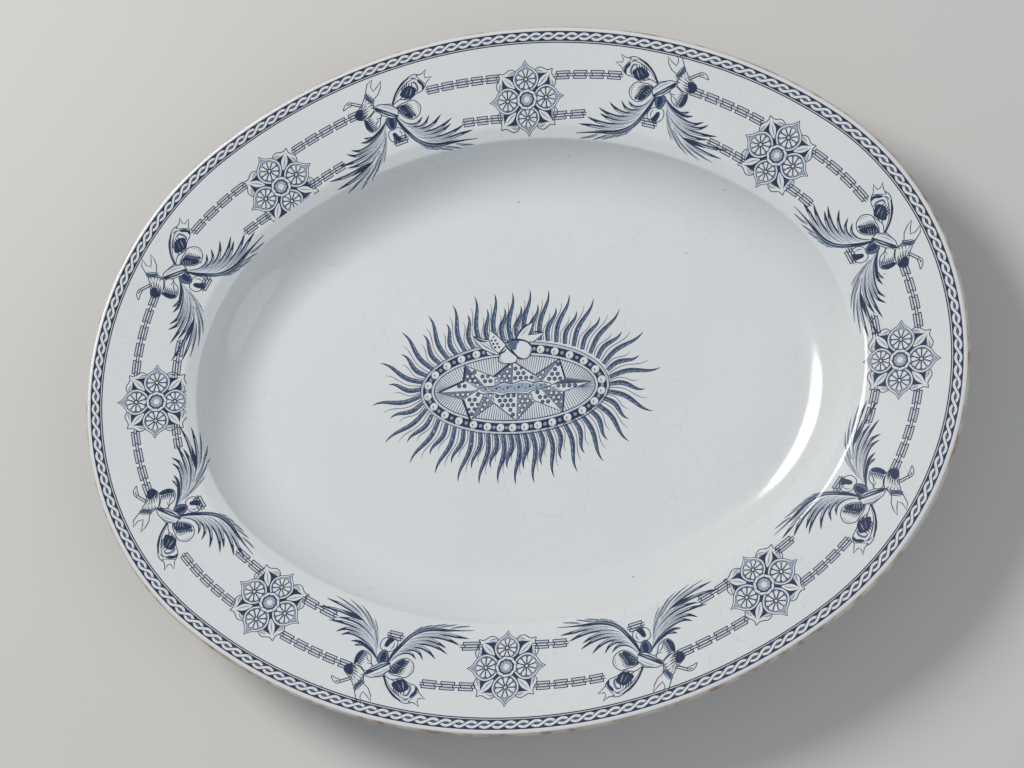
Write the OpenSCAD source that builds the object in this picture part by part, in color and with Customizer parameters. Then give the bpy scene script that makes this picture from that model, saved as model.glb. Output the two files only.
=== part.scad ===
// Oval serving platter: one fired clay body under clear glaze, with a dark
// blue printed border, eight rosettes, eight bow sprays, two rows of chain
// and a rayed oval in the well.  Millimetres, +Z up, foot on z = 0.

/* [Overall] */
// Length over the rim
length = 408; // [340:1:490]
// Width over the rim
width = 328; // [274:1:394]
// Height, foot to the top of the lip
height = 40; // [36:0.5:48]

/* [Rim] */
// Slope of the rim down to the well, degrees
rim_slope = 11; // [9:0.5:13.5]
// Width of the sloping rim, lip to verge
rim_wide = 45.5; // [38:0.5:54.5]
// Radius of the round lip
lip_round = 2; // [1.7:0.1:2.4]
// Width of the verge, the short steeper step inside the rim
verge_wide = 5.5; // [4.6:0.1:6.6]
// Drop of the verge
verge_drop = 3; // [2.5:0.1:3.6]

/* [Well] */
// Depth of the well below the lip
well_depth = 30.5; // [26:0.5:36.5]
// Inside radius where the wall turns into the floor
well_round = 30; // [25:0.5:36]
// Wall thickness at the well
wall = 5.5; // [4.6:0.1:6.6]

/* [Foot] */
// Width of the foot ring where it stands
foot_wide = 5; // [4.2:0.1:6]
// How far the outside of the foot ring stands from the flat of the well
foot_out = 12.8; // [10.7:0.1:15.4]
// Draft on each side of the foot ring
foot_draft = 1; // [0.8:0.1:1.2]

/* [Glaze] */
// Thickness of the glaze, drawn a little thick
glaze = 0.3; // [0.25:0.01:0.36]
// Height the glaze is wiped back from the foot
wipe = 0.8; // [0.6:0.1:1]

/* [Border print] */
// Thickness of the printed film
ink = 0.15; // [0.12:0.01:0.18]
// Width of the worn brown line on the lip
edge_line_wide = 0.9; // [0.7:0.1:1.1]
// Lip to the twist band
band_in = 2.7; // [2.5:0.1:3.3]
// Width of the twist band
band_wide = 4.6; // [3.8:0.1:5.6]
// Gap from the twist band to the fine line
line_gap = 0.35; // [0.3:0.05:0.4]
// Width of the fine line
line_wide = 0.5; // [0.4:0.05:0.6]

/* [Chains] */
// Lip to the middle of the outer chain
chain_outer_in = 21.5; // [18:0.5:26]
// Lip to the middle of the inner chain
chain_inner_in = 40.2; // [33.5:0.1:42.5]
// Width of a chain
chain_wide = 4.2; // [3.5:0.1:5]

/* [Rosettes] */
// Lip to the middle of a rosette
rosette_in = 30.6; // [27:0.1:31]
// Rosette, middle to petal tip
rosette_tall = 18.4; // [15.3:0.1:20]
// Rosette width as a share of its height
rosette_share = 0.93; // [0.8:0.01:1.1]
// Turn of the four corner rosettes round the rim, degrees
rosette_turn = 55; // [51:0.5:60]

/* [Bow sprays] */
// Lip to the knot of a spray
spray_in = 25; // [21:0.1:26]
// Scale of a spray
spray_size = 1; // [0.83:0.01:1.05]
// Turn of the four end sprays round the rim, degrees
spray_turn_end = 27; // [25:0.5:29]
// Turn of the four side sprays round the rim, degrees
spray_turn_side = 72.5; // [71:0.5:74]

/* [Rayed oval] */
// Frame length
frame_long = 92; // [77:1:110]
// Frame width
frame_tall = 45; // [37.5:0.5:54]
// Width of the beaded frame band
frame_band = 6.4; // [5.3:0.1:7.7]
// Diameter of a pearl
pearl = 3.4; // [2.8:0.1:4.1]
// Number of pearls
pearls = 30; // [24:2:36]
// Reach of the long rays past the frame
ray_long = 21; // [17.5:0.5:25]
// Reach of the short rays past the frame
ray_short = 14; // [11.5:0.5:17]
// Number of rays
rays = 56; // [46:2:68]
// Gap from the frame band to the long points of the star
star_end_gap = 2.6; // [2:0.1:3.2]
// Gap from the frame band to the side points of the star
star_side_gap = 2.5; // [2:0.1:3]
// Scale of the bow over the frame
bow_size = 1; // [0.83:0.01:1.2]
// Offset of the rayed oval along the platter
oval_shift = -5.3; // [-8:0.1:0]
// Turn of the rayed oval, degrees
oval_turn = 1.8; // [0:0.1:4]

/* [Hidden] */

// colours
clay_tone = [0.86, 0.83, 0.78];
glaze_tone = [0.87, 0.90, 0.92];
ink_tone = [0.06, 0.09, 0.20];
brown_tone = [0.45, 0.30, 0.18];

// --- the oval: four arcs whose centres stand on two 3-4-5 triangles -------
unit = (length - width) / 4;
end_off = 3 * unit;
side_off = 4 * unit;
end_radius = length / 2 - end_off;
side_radius = end_radius + 5 * unit;
split = atan2(4, 3);       // direction in which the arcs meet
way = [3 / 5, 4 / 5];

// the four arcs: centre, radius, middle direction, half span
arcs = [[[ end_off, 0], end_radius, 0, split],
        [[0, -side_off], side_radius, 90, 90 - split],
        [[-end_off, 0], end_radius, 180, split],
        [[0,  side_off], side_radius, 270, 90 - split]];

function turn(a) = (a % 360 + 360) % 360;
// how far direction a lies from the middle of an arc
function off_arc(c, a) = abs(turn(a - c[2] + 180) - 180);
function arc_at(a) = [for (c = arcs) if (off_arc(c, a) <= c[3]) c][0];
// the point that lies `in` inside the lip, where the outline faces angle a
function on_rim(a, in) = let (c = arc_at(a))
  c[0] + (c[1] - in) * [cos(a), sin(a)];

// --- the section, drawn with x = distance in from the lip ----------------
function arc(mid, r, from, to, n) = [for (i = [0 : n])
  let (w = from + (to - from) * i / n) mid + r * [cos(w), sin(w)]];

lip_mid = [lip_round, height - lip_round];
floor_z = height - well_depth;
verge_turn = atan2(verge_drop, verge_wide);
mean_turn = (rim_slope + verge_turn) / 2;
half_turn = (verge_turn - rim_slope) / 2;
rim_start = lip_mid + lip_round * [sin(rim_slope), cos(rim_slope)];
brow = [rim_wide, rim_start[1] - (rim_wide - rim_start[0]) * tan(rim_slope)];
verge = brow + [verge_wide, -verge_drop];
// centre of the arc that turns the wall into the floor, and where it starts
bend = [verge[0] + sqrt(pow(well_round, 2) - pow(floor_z + well_round - verge[1], 2)),
        floor_z + well_round];
bend_way = 360 + atan2(verge[1] - bend[1], verge[0] - bend[0]);
lip_steps = 9;
bend_steps = 14;

// the brow, moved g into the body
function brow_in(g) = brow - g / cos(half_turn) * [sin(mean_turn), cos(mean_turn)];

// the face from the lip to in_end, moved g into the body
function face_line(g, in_end) = concat(
  arc(lip_mid, lip_round - g, 180, 90 - rim_slope, lip_steps),
  [brow_in(g)],
  arc(bend, well_round + g, bend_way, 270, bend_steps),
  [[in_end, floor_z - g]]);

// the underside: lip to foot, then foot to in_end, moved g into the body
foot_at = bend[0] - foot_out;
function back_way(r, x) = 180 + acos((bend[0] - x) / r);
function wall_line(g) = let (r = well_round + wall - g, x = foot_at - foot_draft + g)
  concat(arc(lip_mid, lip_round - g, 180, 270 - rim_slope, lip_steps),
         arc(bend, r, bend_way, back_way(r, x), bend_steps));
function base_line(g, in_end) =
  let (r = well_round + wall - g, x = foot_at + foot_wide + foot_draft - g)
  concat(arc(bend, r, back_way(r, x), 270, bend_steps),
         [[in_end, floor_z - wall + g]]);
// the two sides of the foot at height z
function foot_side(g, z, end) = let (w = end == 0 ? wall_line(g) : base_line(g, 0),
    root = end == 0 ? w[len(w) - 1] : w[0],
    toe = [foot_at + (end == 0 ? g : foot_wide - g), 0])
  toe + (root - toe) * z / root[1];

function flip(line) = [for (i = [len(line) - 1 : -1 : 0]) line[i]];

module clay_section(in_end) polygon(concat(
  face_line(glaze, in_end),
  flip(base_line(glaze, in_end)),
  [foot_side(glaze, 0, 1), foot_side(glaze, 0, 0)],
  flip(wall_line(glaze))));

module face_section(in_end) polygon(concat(
  face_line(0, in_end), flip(face_line(glaze, in_end))));

module wall_section() polygon(concat(
  wall_line(0), [foot_side(0, wipe, 0), foot_side(glaze, wipe, 0)],
  flip(wall_line(glaze))));

module base_section(in_end) polygon(concat(
  [foot_side(0, wipe, 1)], base_line(0, in_end),
  flip(base_line(glaze, in_end)), [foot_side(glaze, wipe, 1)]));

// a printed film on the sloping rim or the verge, between two distances in
function rim_z(x) = x <= brow[0] ? brow[1] + (brow[0] - x) * tan(rim_slope)
                                 : brow[1] - (x - brow[0]) * tan(verge_turn);
module film_section(from, to) polygon(concat(
  [[from, rim_z(from)]], from < brow[0] && to > brow[0] ? [brow] : [], [[to, rim_z(to)]],
  [[to, rim_z(to) + ink]],
  from < brow[0] && to > brow[0] ? [brow + [0, ink]] : [], [[from, rim_z(from) + ink]]));

// the worn line on the outside of the lip
edge_way = acos((lip_round - edge_line_wide) / lip_round);
module edge_section() polygon(concat(
  arc(lip_mid, lip_round + ink, 180, 180 - edge_way, lip_steps),
  flip(arc(lip_mid, lip_round, 180, 180 - edge_way, lip_steps))));

// --- sweeping a section round the oval -----------------------------------
far = 2 * length;
side_core = 0.9 * side_off;   // the side arcs stop a little past the long axis
function in_end(c) = c[0][1] == 0 ? c[1] : c[1] - side_core;

module ring(c) translate([c[0][0], c[0][1], 0])
  rotate_extrude($fn = 180) translate([c[1], 0]) mirror([1, 0]) children();

// the share of the oval that belongs to an arc
module share(c) translate([0, 0, -height]) linear_extrude(height = 3 * height)
  if (c[0][1] == 0) {
    s = sign(c[0][0]);
    polygon([c[0], c[0] + far * [s * way[0], way[1]], c[0] + far * [s * way[0], -way[1]]]);
  } else {
    s = -sign(c[0][1]);
    polygon([[end_off, 0], [end_off, 0] + far * [way[0], s * way[1]],
             [-end_off, 0] + far * [-way[0], s * way[1]], [-end_off, 0]]);
  }

module sweep(c) intersection() {
  ring(c) children();
  share(c);
}

// --- body and glaze ------------------------------------------------------
module clay_body() color(clay_tone)
  for (c = arcs) sweep(c) clay_section(in_end(c));

module face_glaze() color(glaze_tone)
  for (c = arcs) sweep(c) face_section(in_end(c));

module wall_glaze() color(glaze_tone)
  for (c = arcs) sweep(c) wall_section();

module base_glaze() color(glaze_tone)
  for (c = arcs) sweep(c) base_section(in_end(c));

module edge_line() color(brown_tone)
  for (c = arcs) sweep(c) edge_section();

// --- border print --------------------------------------------------------
line_in = band_in + band_wide + line_gap;

module border_band() color(ink_tone)
  for (c = arcs) sweep(c) film_section(band_in, band_in + band_wide);

module border_line() color(ink_tone)
  for (c = arcs) sweep(c) film_section(line_in, line_in + line_wide);

// where each motif was laid by hand: even places plus a small slip, degrees
rosette_even = [0, rosette_turn, 90, 180 - rosette_turn,
                180, 180 + rosette_turn, 270, 360 - rosette_turn];
rosette_slip = [-1, 0, 0, -0.5, 3.5, 3.5, 1, -1];
spray_even = [spray_turn_end, spray_turn_side, 180 - spray_turn_side, 180 - spray_turn_end,
              180 + spray_turn_end, 180 + spray_turn_side,
              360 - spray_turn_side, 360 - spray_turn_end];
spray_slip = [0, -1, -1.5, 0.5, 6, 3, 0, -5];
function rosette_way(i) = rosette_even[i % 8] + rosette_slip[i % 8];
function spray_way(i) = spray_even[i] + spray_slip[i];

// the motifs are drawn smaller where a tight curve or a narrow rim leaves less room
print_edge = 0.3;          // the print stops this far short of the line and the well
end_room = 103;            // inner chain radii, at the ends and along the sides,
side_room = 203;           // that take them full size
rim_room = 49.9;           // how far in from the lip they reach
fit = min(1, (end_radius - chain_inner_in) / end_room,
          (side_radius - chain_inner_in) / side_room,
          (rim_wide + verge_wide - print_edge) / rim_room);
rosette_size = fit * rosette_tall;
spray_scale = fit * spray_size;

// stand a flat drawing on the rim: x round the rim, y outwards
module on_way(a, in) {
  p = on_rim(a, in);
  translate([p[0], p[1], 0]) rotate([0, 0, a - 90])
    linear_extrude(height = 2 * height) children();
}

// the film over directions a0 to a1, from one arc or from two that meet
film_from = line_in + line_wide + print_edge;
film_to = rim_wide + verge_wide - print_edge;
module rim_film(from, to, a0, a1) {
  near = [for (c = arcs) if (off_arc(c, (a0 + a1) / 2) < (a1 - a0) / 2 + c[3]) c];
  if (len(near) == 1) ring(near[0]) film_section(from, to);
  else for (c = near) sweep(c) film_section(from, to);
}

// one eighth of the rosette outline: angle off a petal tip, share of its reach
petal = [[0, 1], [6, 0.9], [16, 0.86], [26, 0.77], [33, 0.7], [39, 0.8], [45, 0.92]];
petal_last = len(petal) - 1;
function petal_ring() = [for (q = [0 : 7]) for (k = [0 : petal_last - 1])
  let (even = q % 2 == 0, e = even ? petal[k] : petal[petal_last - k],
       w = 45 * q + (even ? e[0] : 45 - e[0]))
  [rosette_share * e[1] * rosette_size * sin(w), e[1] * rosette_size * cos(w)]];

// bow spray outline, x round the rim, y outwards from the knot
spray_ring = [[3.1, 16.4], [2.6, 12.3], [0.7, 12.3], [-1.5, 15.1], [-1.2, 10.4],
  [0.3, 6.4], [-3.5, 4.6], [-9, 10.2], [-15.6, 13], [-18.4, 10.9], [-22, 12.4],
  [-20.6, 9.7], [-24.6, 8.6], [-19.6, 6.4], [-17, 3], [-14.8, 1.4], [-13.9, -3.6],
  [-9.6, -5.6], [-13, -6.8], [-16.8, -6.2], [-17.8, -8.4], [-22, -8.4], [-23, -11],
  [-28, -11.2], [-30, -14], [-35.4, -15], [-38.4, -18.4], [-34.4, -18.8],
  [-36.4, -22], [-30.4, -20.8], [-31.4, -24], [-25.6, -21.8], [-23.6, -24.2],
  [-18.6, -20.4], [-15, -22.6], [-10.4, -17.6], [-5.6, -11.4], [-2.6, -8.6],
  [0.5, -12.4], [2.8, -9], [5.4, -13.6], [9, -18.6], [14, -23], [14.7, -20.6],
  [17.6, -23.4], [18.9, -21.2], [23.4, -24.2], [24.8, -22], [29.4, -24.8],
  [33.4, -24.6], [36, -21.4], [31.4, -18], [34, -16.2], [28.2, -15],
  [27.8, -11.6], [22.8, -11], [22.8, -8.2], [18.2, -7.4], [16.4, -4.6],
  [12, -4.6], [14.3, 0], [14.9, 5], [11.8, 8.6], [19.2, 10.4], [18.6, 12.8],
  [10.2, 12.2], [8, 10.4], [5.6, 13]];
// half widths that the motifs take from the chains: the outer chain meets the
// ribbons of a spray, the inner one the plume on its plain or its curled side
spray_outer = [20.4, 20.4];
spray_inner = [34.6, 37.4];
rosette_outer = 0.78;      // as shares of half a rosette's width
rosette_inner = 0.66;
half_cover = 18;           // half the turn that one drawing can cover

// the sprays of one quarter mirror those of the next
function spray_hand(i) = floor(i / 2) % 2 == 0 ? 1 : -1;

module rosette(i) color(ink_tone) intersection() {
  rim_film(film_from, film_to, rosette_way(i) - half_cover, rosette_way(i) + half_cover);
  on_way(rosette_way(i), rosette_in) polygon(petal_ring());
}

module spray(i) color(ink_tone) intersection() {
  rim_film(film_from, film_to, spray_way(i) - half_cover, spray_way(i) + half_cover);
  on_way(spray_way(i), spray_in)
    polygon([for (p = spray_ring) spray_scale * [spray_hand(i) * p[0], p[1]]]);
}

// a run of chain between a rosette and the spray after or before it, cut
// square where it comes to each
chain_steps = 8;
module chain(n, in, spray_half, rosette_part) {
  i = floor(n / 2);
  after = n % 2 == 0;
  r = after ? rosette_way(i) : rosette_way(i + 1) + (i == 7 ? 360 : 0);
  s = spray_way(i);
  plain = after == (spray_hand(i) > 0);
  lo = min(r, s);
  hi = max(r, s);
  edge = concat(
    [for (k = [0 : chain_steps]) on_rim(lo + (hi - lo) * k / chain_steps, in - chain_wide)],
    [for (k = [0 : chain_steps]) on_rim(hi - (hi - lo) * k / chain_steps, in + chain_wide)]);
  color(ink_tone) difference() {
    intersection() {
      rim_film(in - chain_wide / 2, in + chain_wide / 2, lo, hi);
      linear_extrude(height = 2 * height) polygon(edge);
    }
    on_way(r, in) square([2 * rosette_part * rosette_share * rosette_size,
                          3 * chain_wide], center = true);
    on_way(s, in) square([2 * spray_scale * spray_half[plain ? 0 : 1],
                          3 * chain_wide], center = true);
  }
}

// --- rayed oval in the well ----------------------------------------------
module on_floor() color(ink_tone) translate([oval_shift, 0, floor_z])
  rotate([0, 0, oval_turn]) linear_extrude(height = ink) children();

print_gap = 0.4;
pearl_sides = 12;
function around(w, d) = [(frame_long / 2 + d) * cos(w), (frame_tall / 2 + d) * sin(w)];
// a parameter that spaces points evenly round the frame
evening = (frame_long - frame_tall) / (frame_long + frame_tall) / 2 * 180 / PI;
function even(w) = w + evening * sin(2 * w);
oval_sides = 96;
module oval(d) polygon([for (k = [0 : oval_sides - 1])
  around(even(360 * k / oval_sides), d)]);

// the bow over the frame, x along the platter, y across it
bow_ring = [[-14, 6.6], [-9.4, 2.8], [-7.8, -1.6], [-4, -5], [1, -5.6], [6, -4.6],
  [8.6, -0.6], [7.4, 3], [9.8, 6.2], [5.2, 6], [3.6, 8.6], [0, 4.6], [-5.4, 6]];
bow_across = 2.2;          // how far the knot stands inside the edge of the frame
bow_along = 3.2;
module bow_shape(grow) translate([bow_along, frame_tall / 2 - bow_across])
  polygon((bow_size + grow / 10) * bow_ring);

ray_root = 1.2;            // the rays rise from a thin ring of this width
ray_lean = 0.35;           // how far a tip leans along the frame, in rays
function ray_tip(k) = around(even(360 * (k + 0.5 + ray_lean) / rays),
                             k % 2 == 0 ? ray_long : ray_short);

// rays that would start under the bow are left out
bow_span = [-14.6, 10.6];
function ray_foot(k) = around(even(360 * k / rays), ray_root);
function under_bow(k) = let (p = ray_foot(k))
  p[1] > 0 && p[0] > bow_along + bow_size * bow_span[0] &&
  p[0] < bow_along + bow_size * bow_span[1];

module oval_rays() on_floor() difference() {
  polygon([for (k = [0 : rays - 1]) if (!under_bow(k)) for (tip = [0, 1])
    if (tip == 0 || !under_bow(k + 1)) tip == 0 ? ray_foot(k) : ray_tip(k)]);
  oval(0);
  bow_shape(print_gap);
}

module oval_frame() on_floor() difference() {
  oval(-print_gap);
  oval(-frame_band);
  for (k = [0 : pearls - 1])
    translate(around(even(360 * (k + 0.5) / pearls), -frame_band / 2))
      circle(d = pearl, $fn = pearl_sides);
  bow_shape(print_gap);
}

// the star: long points at the ends, three each above and below; one quarter
// of its outline as shares of its half length and half height
star_long = frame_long / 2 - frame_band - star_end_gap;
star_tall = frame_tall / 2 - frame_band - star_side_gap;
star_arm = [[1, 0], [0.72, 0.34], [0.46, 0.8], [0.22, 0.5], [0, 1]];
function star_ring() = [for (q = [0 : 3]) for (k = [0 : 3])
  let (e = q % 2 == 0 ? star_arm[k] : star_arm[4 - k],
       s = [q == 0 || q == 3 ? 1 : -1, q < 2 ? 1 : -1])
  [s[0] * star_long * e[0], s[1] * star_tall * e[1]]];
module star_shape(grow) scale(1 + grow / star_tall) polygon(star_ring());

module oval_field() on_floor() difference() {
  oval(-frame_band - print_gap);
  star_shape(print_gap);
  bow_shape(print_gap);
}

module oval_star() on_floor() difference() {
  star_shape(0);
  bow_shape(print_gap);
}

module oval_bow() on_floor() bow_shape(0);

clay_body();
face_glaze();
wall_glaze();
base_glaze();
edge_line();
border_band();
border_line();
rosette(0);  // rosette_1
rosette(1);  // rosette_2
rosette(2);  // rosette_3
rosette(3);  // rosette_4
rosette(4);  // rosette_5
rosette(5);  // rosette_6
rosette(6);  // rosette_7
rosette(7);  // rosette_8
spray(0);  // spray_1
spray(1);  // spray_2
spray(2);  // spray_3
spray(3);  // spray_4
spray(4);  // spray_5
spray(5);  // spray_6
spray(6);  // spray_7
spray(7);  // spray_8
chain(0, chain_outer_in, spray_outer, rosette_outer);  // chain_outer_1
chain(1, chain_outer_in, spray_outer, rosette_outer);  // chain_outer_2
chain(2, chain_outer_in, spray_outer, rosette_outer);  // chain_outer_3
chain(3, chain_outer_in, spray_outer, rosette_outer);  // chain_outer_4
chain(4, chain_outer_in, spray_outer, rosette_outer);  // chain_outer_5
chain(5, chain_outer_in, spray_outer, rosette_outer);  // chain_outer_6
chain(6, chain_outer_in, spray_outer, rosette_outer);  // chain_outer_7
chain(7, chain_outer_in, spray_outer, rosette_outer);  // chain_outer_8
chain(8, chain_outer_in, spray_outer, rosette_outer);  // chain_outer_9
chain(9, chain_outer_in, spray_outer, rosette_outer);  // chain_outer_10
chain(10, chain_outer_in, spray_outer, rosette_outer);  // chain_outer_11
chain(11, chain_outer_in, spray_outer, rosette_outer);  // chain_outer_12
chain(12, chain_outer_in, spray_outer, rosette_outer);  // chain_outer_13
chain(13, chain_outer_in, spray_outer, rosette_outer);  // chain_outer_14
chain(14, chain_outer_in, spray_outer, rosette_outer);  // chain_outer_15
chain(15, chain_outer_in, spray_outer, rosette_outer);  // chain_outer_16
chain(0, chain_inner_in, spray_inner, rosette_inner);  // chain_inner_1
chain(1, chain_inner_in, spray_inner, rosette_inner);  // chain_inner_2
chain(2, chain_inner_in, spray_inner, rosette_inner);  // chain_inner_3
chain(3, chain_inner_in, spray_inner, rosette_inner);  // chain_inner_4
chain(4, chain_inner_in, spray_inner, rosette_inner);  // chain_inner_5
chain(5, chain_inner_in, spray_inner, rosette_inner);  // chain_inner_6
chain(6, chain_inner_in, spray_inner, rosette_inner);  // chain_inner_7
chain(7, chain_inner_in, spray_inner, rosette_inner);  // chain_inner_8
chain(8, chain_inner_in, spray_inner, rosette_inner);  // chain_inner_9
chain(9, chain_inner_in, spray_inner, rosette_inner);  // chain_inner_10
chain(10, chain_inner_in, spray_inner, rosette_inner);  // chain_inner_11
chain(11, chain_inner_in, spray_inner, rosette_inner);  // chain_inner_12
chain(12, chain_inner_in, spray_inner, rosette_inner);  // chain_inner_13
chain(13, chain_inner_in, spray_inner, rosette_inner);  // chain_inner_14
chain(14, chain_inner_in, spray_inner, rosette_inner);  // chain_inner_15
chain(15, chain_inner_in, spray_inner, rosette_inner);  // chain_inner_16
oval_rays();
oval_frame();
oval_field();
oval_star();
oval_bow();
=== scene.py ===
import math

import bpy
import numpy as np
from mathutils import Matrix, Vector, geometry


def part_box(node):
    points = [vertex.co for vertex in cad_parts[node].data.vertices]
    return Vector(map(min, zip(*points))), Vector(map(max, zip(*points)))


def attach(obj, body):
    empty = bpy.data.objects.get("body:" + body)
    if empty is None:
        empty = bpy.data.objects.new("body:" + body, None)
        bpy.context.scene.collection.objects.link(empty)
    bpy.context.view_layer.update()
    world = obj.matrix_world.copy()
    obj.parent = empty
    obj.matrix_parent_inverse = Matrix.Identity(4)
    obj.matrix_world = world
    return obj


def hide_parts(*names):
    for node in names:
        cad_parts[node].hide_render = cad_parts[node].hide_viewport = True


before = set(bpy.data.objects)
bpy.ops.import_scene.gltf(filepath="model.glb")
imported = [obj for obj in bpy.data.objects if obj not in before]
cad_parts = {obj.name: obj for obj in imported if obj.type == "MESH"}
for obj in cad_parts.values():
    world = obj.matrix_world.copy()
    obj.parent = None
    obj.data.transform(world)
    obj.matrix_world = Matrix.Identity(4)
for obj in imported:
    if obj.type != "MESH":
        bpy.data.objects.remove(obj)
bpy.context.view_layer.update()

# ---------------------------------------------------------------- sizes, mm
MM = 0.001
low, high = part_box("face_glaze")
LENGTH = (high.x - low.x) / MM
WIDTH = (high.y - low.y) / MM
HEIGHT = high.z / MM
UNIT = (LENGTH - WIDTH) / 4
END_OFF = 3 * UNIT
SIDE_OFF = 4 * UNIT
END_R = LENGTH / 2 - END_OFF
SIDE_R = END_R + 5 * UNIT
SPLIT = math.degrees(math.atan2(4, 3))

RIM_SLOPE = 11
RIM_WIDE = 45.5
LIP_R = 2
VERGE = (5.5, 3)
FLOOR_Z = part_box("oval_star")[0].z / MM
WELL_R = 30
WALL = 5.5
FOOT_WIDE = 5
FOOT_OUT = 12.8
FOOT_DRAFT = 1
GLAZE = 0.3
WIPE = 0.8


# ---------------------------------------------------------------- the oval
def on_rim(angle, inset_by):
    """Plan points that lie inset_by inside the lip, where the outline faces angle (degrees)."""
    a = np.mod(np.asarray(angle, float), 360)
    end = (a <= SPLIT) | (a >= 360 - SPLIT) | (np.abs(a - 180) <= SPLIT)
    cx = np.where(end, np.where(np.cos(np.radians(a)) > 0, END_OFF, -END_OFF), 0)
    cy = np.where(end, 0, np.where(a < 180, -SIDE_OFF, SIDE_OFF))
    r = np.where(end, END_R, SIDE_R) - inset_by
    return np.stack([cx + r * np.cos(np.radians(a)), cy + r * np.sin(np.radians(a))], -1)


def inset(x, y):
    """How far inside the lip a plan point lies."""
    x, y = np.abs(x), np.abs(y)
    end = (x - END_OFF) * 4 > y * 3
    return np.where(end, END_R - np.hypot(x - END_OFF, y), SIDE_R - np.hypot(x, y + SIDE_OFF))


def round_the_oval(step):
    """Directions spaced evenly by arc length along the lip."""
    spans = [(-SPLIT, SPLIT, END_R), (SPLIT, 180 - SPLIT, SIDE_R),
             (180 - SPLIT, 180 + SPLIT, END_R), (180 + SPLIT, 360 - SPLIT, SIDE_R)]
    found = []
    for a0, a1, r in spans:
        n = max(2, round(math.radians(a1 - a0) * r / step))
        found += [a0 + (a1 - a0) * k / n for k in range(n)]
    return np.array(found)


def spans_of(inset_by):
    """The directions where the arcs of the oval meet, and their arc lengths from 0 degrees,
    along the line inset_by inside the lip."""
    a = np.array([0, SPLIT, 180 - SPLIT, 180 + SPLIT, 360 - SPLIT, 360])
    r = np.array([END_R, SIDE_R, END_R, SIDE_R, END_R]) - inset_by
    return a, np.concatenate([[0], np.cumsum(np.radians(np.diff(a)) * r)])


def way_at(length, inset_by):
    """Direction at each arc length along the line inset_by inside the lip."""
    a, s = spans_of(inset_by)
    turns, rest = np.divmod(np.asarray(length, float), s[-1])
    return 360 * turns + np.interp(rest, s, a)


def length_at(angle, inset_by):
    """The arc length of a direction, the other way round."""
    a, s = spans_of(inset_by)
    turns, rest = np.divmod(np.asarray(angle, float), 360)
    return s[-1] * turns + np.interp(rest, a, s)


# ---------------------------------------------------------------- section
def arc(mid, r, a0, a1, n):
    w = np.radians(np.linspace(a0, a1, n + 1))
    return np.stack([mid[0] + r * np.cos(w), mid[1] + r * np.sin(w)], -1)


def corner(p, q, s, r, n=6):
    """The corner p-q-s of a line, rounded with radius r."""
    u, v = (p - q) / np.linalg.norm(p - q), (s - q) / np.linalg.norm(s - q)
    half = math.acos(float(np.clip(u @ v, -1, 1))) / 2
    back = r / math.tan(half)
    mid = q + (u + v) / np.linalg.norm(u + v) * r / math.sin(half)
    start, stop = q + u * back - mid, q + v * back - mid
    a0, a1 = math.atan2(start[1], start[0]), math.atan2(stop[1], stop[0])
    a1 = a0 + (a1 - a0 + math.pi) % (2 * math.pi) - math.pi
    w = np.linspace(a0, a1, n + 1)
    return np.stack([mid[0] + r * np.cos(w), mid[1] + r * np.sin(w)], -1)


def moved(line, by):
    """A section line moved sideways, to its right as it runs."""
    d = np.gradient(line, axis=0)
    d /= np.linalg.norm(d, axis=1)[:, None]
    return line + by * np.stack([d[:, 1], -d[:, 0]], -1)


LIP = np.array([LIP_R, HEIGHT - LIP_R])
slope = math.radians(RIM_SLOPE)
RIM_START = LIP + LIP_R * np.array([math.sin(slope), math.cos(slope)])
BROW = np.array([RIM_WIDE, RIM_START[1] - (RIM_WIDE - RIM_START[0]) * math.tan(slope)])
EDGE = BROW + [VERGE[0], -VERGE[1]]
BEND = np.array([EDGE[0] + math.sqrt(WELL_R**2 - (FLOOR_Z + WELL_R - EDGE[1])**2),
                 FLOOR_Z + WELL_R])
BEND_WAY = 360 + math.degrees(math.atan2(EDGE[1] - BEND[1], EDGE[0] - BEND[0]))
LIP_STEPS = 10
BROW_ROUND = 7
EDGE_ROUND = 2.6
MIDDLE = END_R - 1           # the swept floor ends here and a flat cap closes it

wall_arc = arc(BEND, WELL_R, BEND_WAY + 3, 270, 22)
FACE = np.concatenate([
    arc(LIP, LIP_R, 180, 90 - RIM_SLOPE, LIP_STEPS),
    RIM_START + np.linspace(0.1, 0.97, 9)[:, None] * (BROW - RIM_START),
    corner(RIM_START, BROW, EDGE, BROW_ROUND),
    corner(BROW, EDGE, arc(BEND, WELL_R, BEND_WAY, BEND_WAY + 4, 1)[1], EDGE_ROUND),
    wall_arc,
    np.array([[90, FLOOR_Z], [110, FLOOR_Z], [MIDDLE, FLOOR_Z]])])

foot_at = BEND[0] - FOOT_OUT
BACK_R = WELL_R + WALL
TOE = 0.7                    # rounding of the foot where it stands


def back_way(r, u):
    return 180 + math.degrees(math.acos((BEND[0] - u) / r))


def wall_line(g):
    """The underside from the lip to the outside of the foot, moved g into the body."""
    lip = arc(LIP, LIP_R - g, 180, 270 - RIM_SLOPE, 8)
    curve = arc(BEND, BACK_R - g, BEND_WAY, back_way(BACK_R - g, foot_at - FOOT_DRAFT + g), 18)
    reach = np.linspace(0, 1, 10)[1:-1, None]
    return np.concatenate([lip, lip[-1] + reach * (curve[0] - lip[-1]), curve])


def base_line(g):
    """The underside from the inside of the foot to the middle, moved g into the body."""
    r = BACK_R - g
    curve = arc(BEND, r, back_way(r, foot_at + FOOT_WIDE + FOOT_DRAFT - g), 270, 10)
    flat = np.array([[95, BEND[1] - r], [MIDDLE, BEND[1] - r]])
    return np.concatenate([curve, flat])


def toward(a, b, z):
    return a + (b - a) * (z - a[1]) / (b[1] - a[1])


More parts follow.
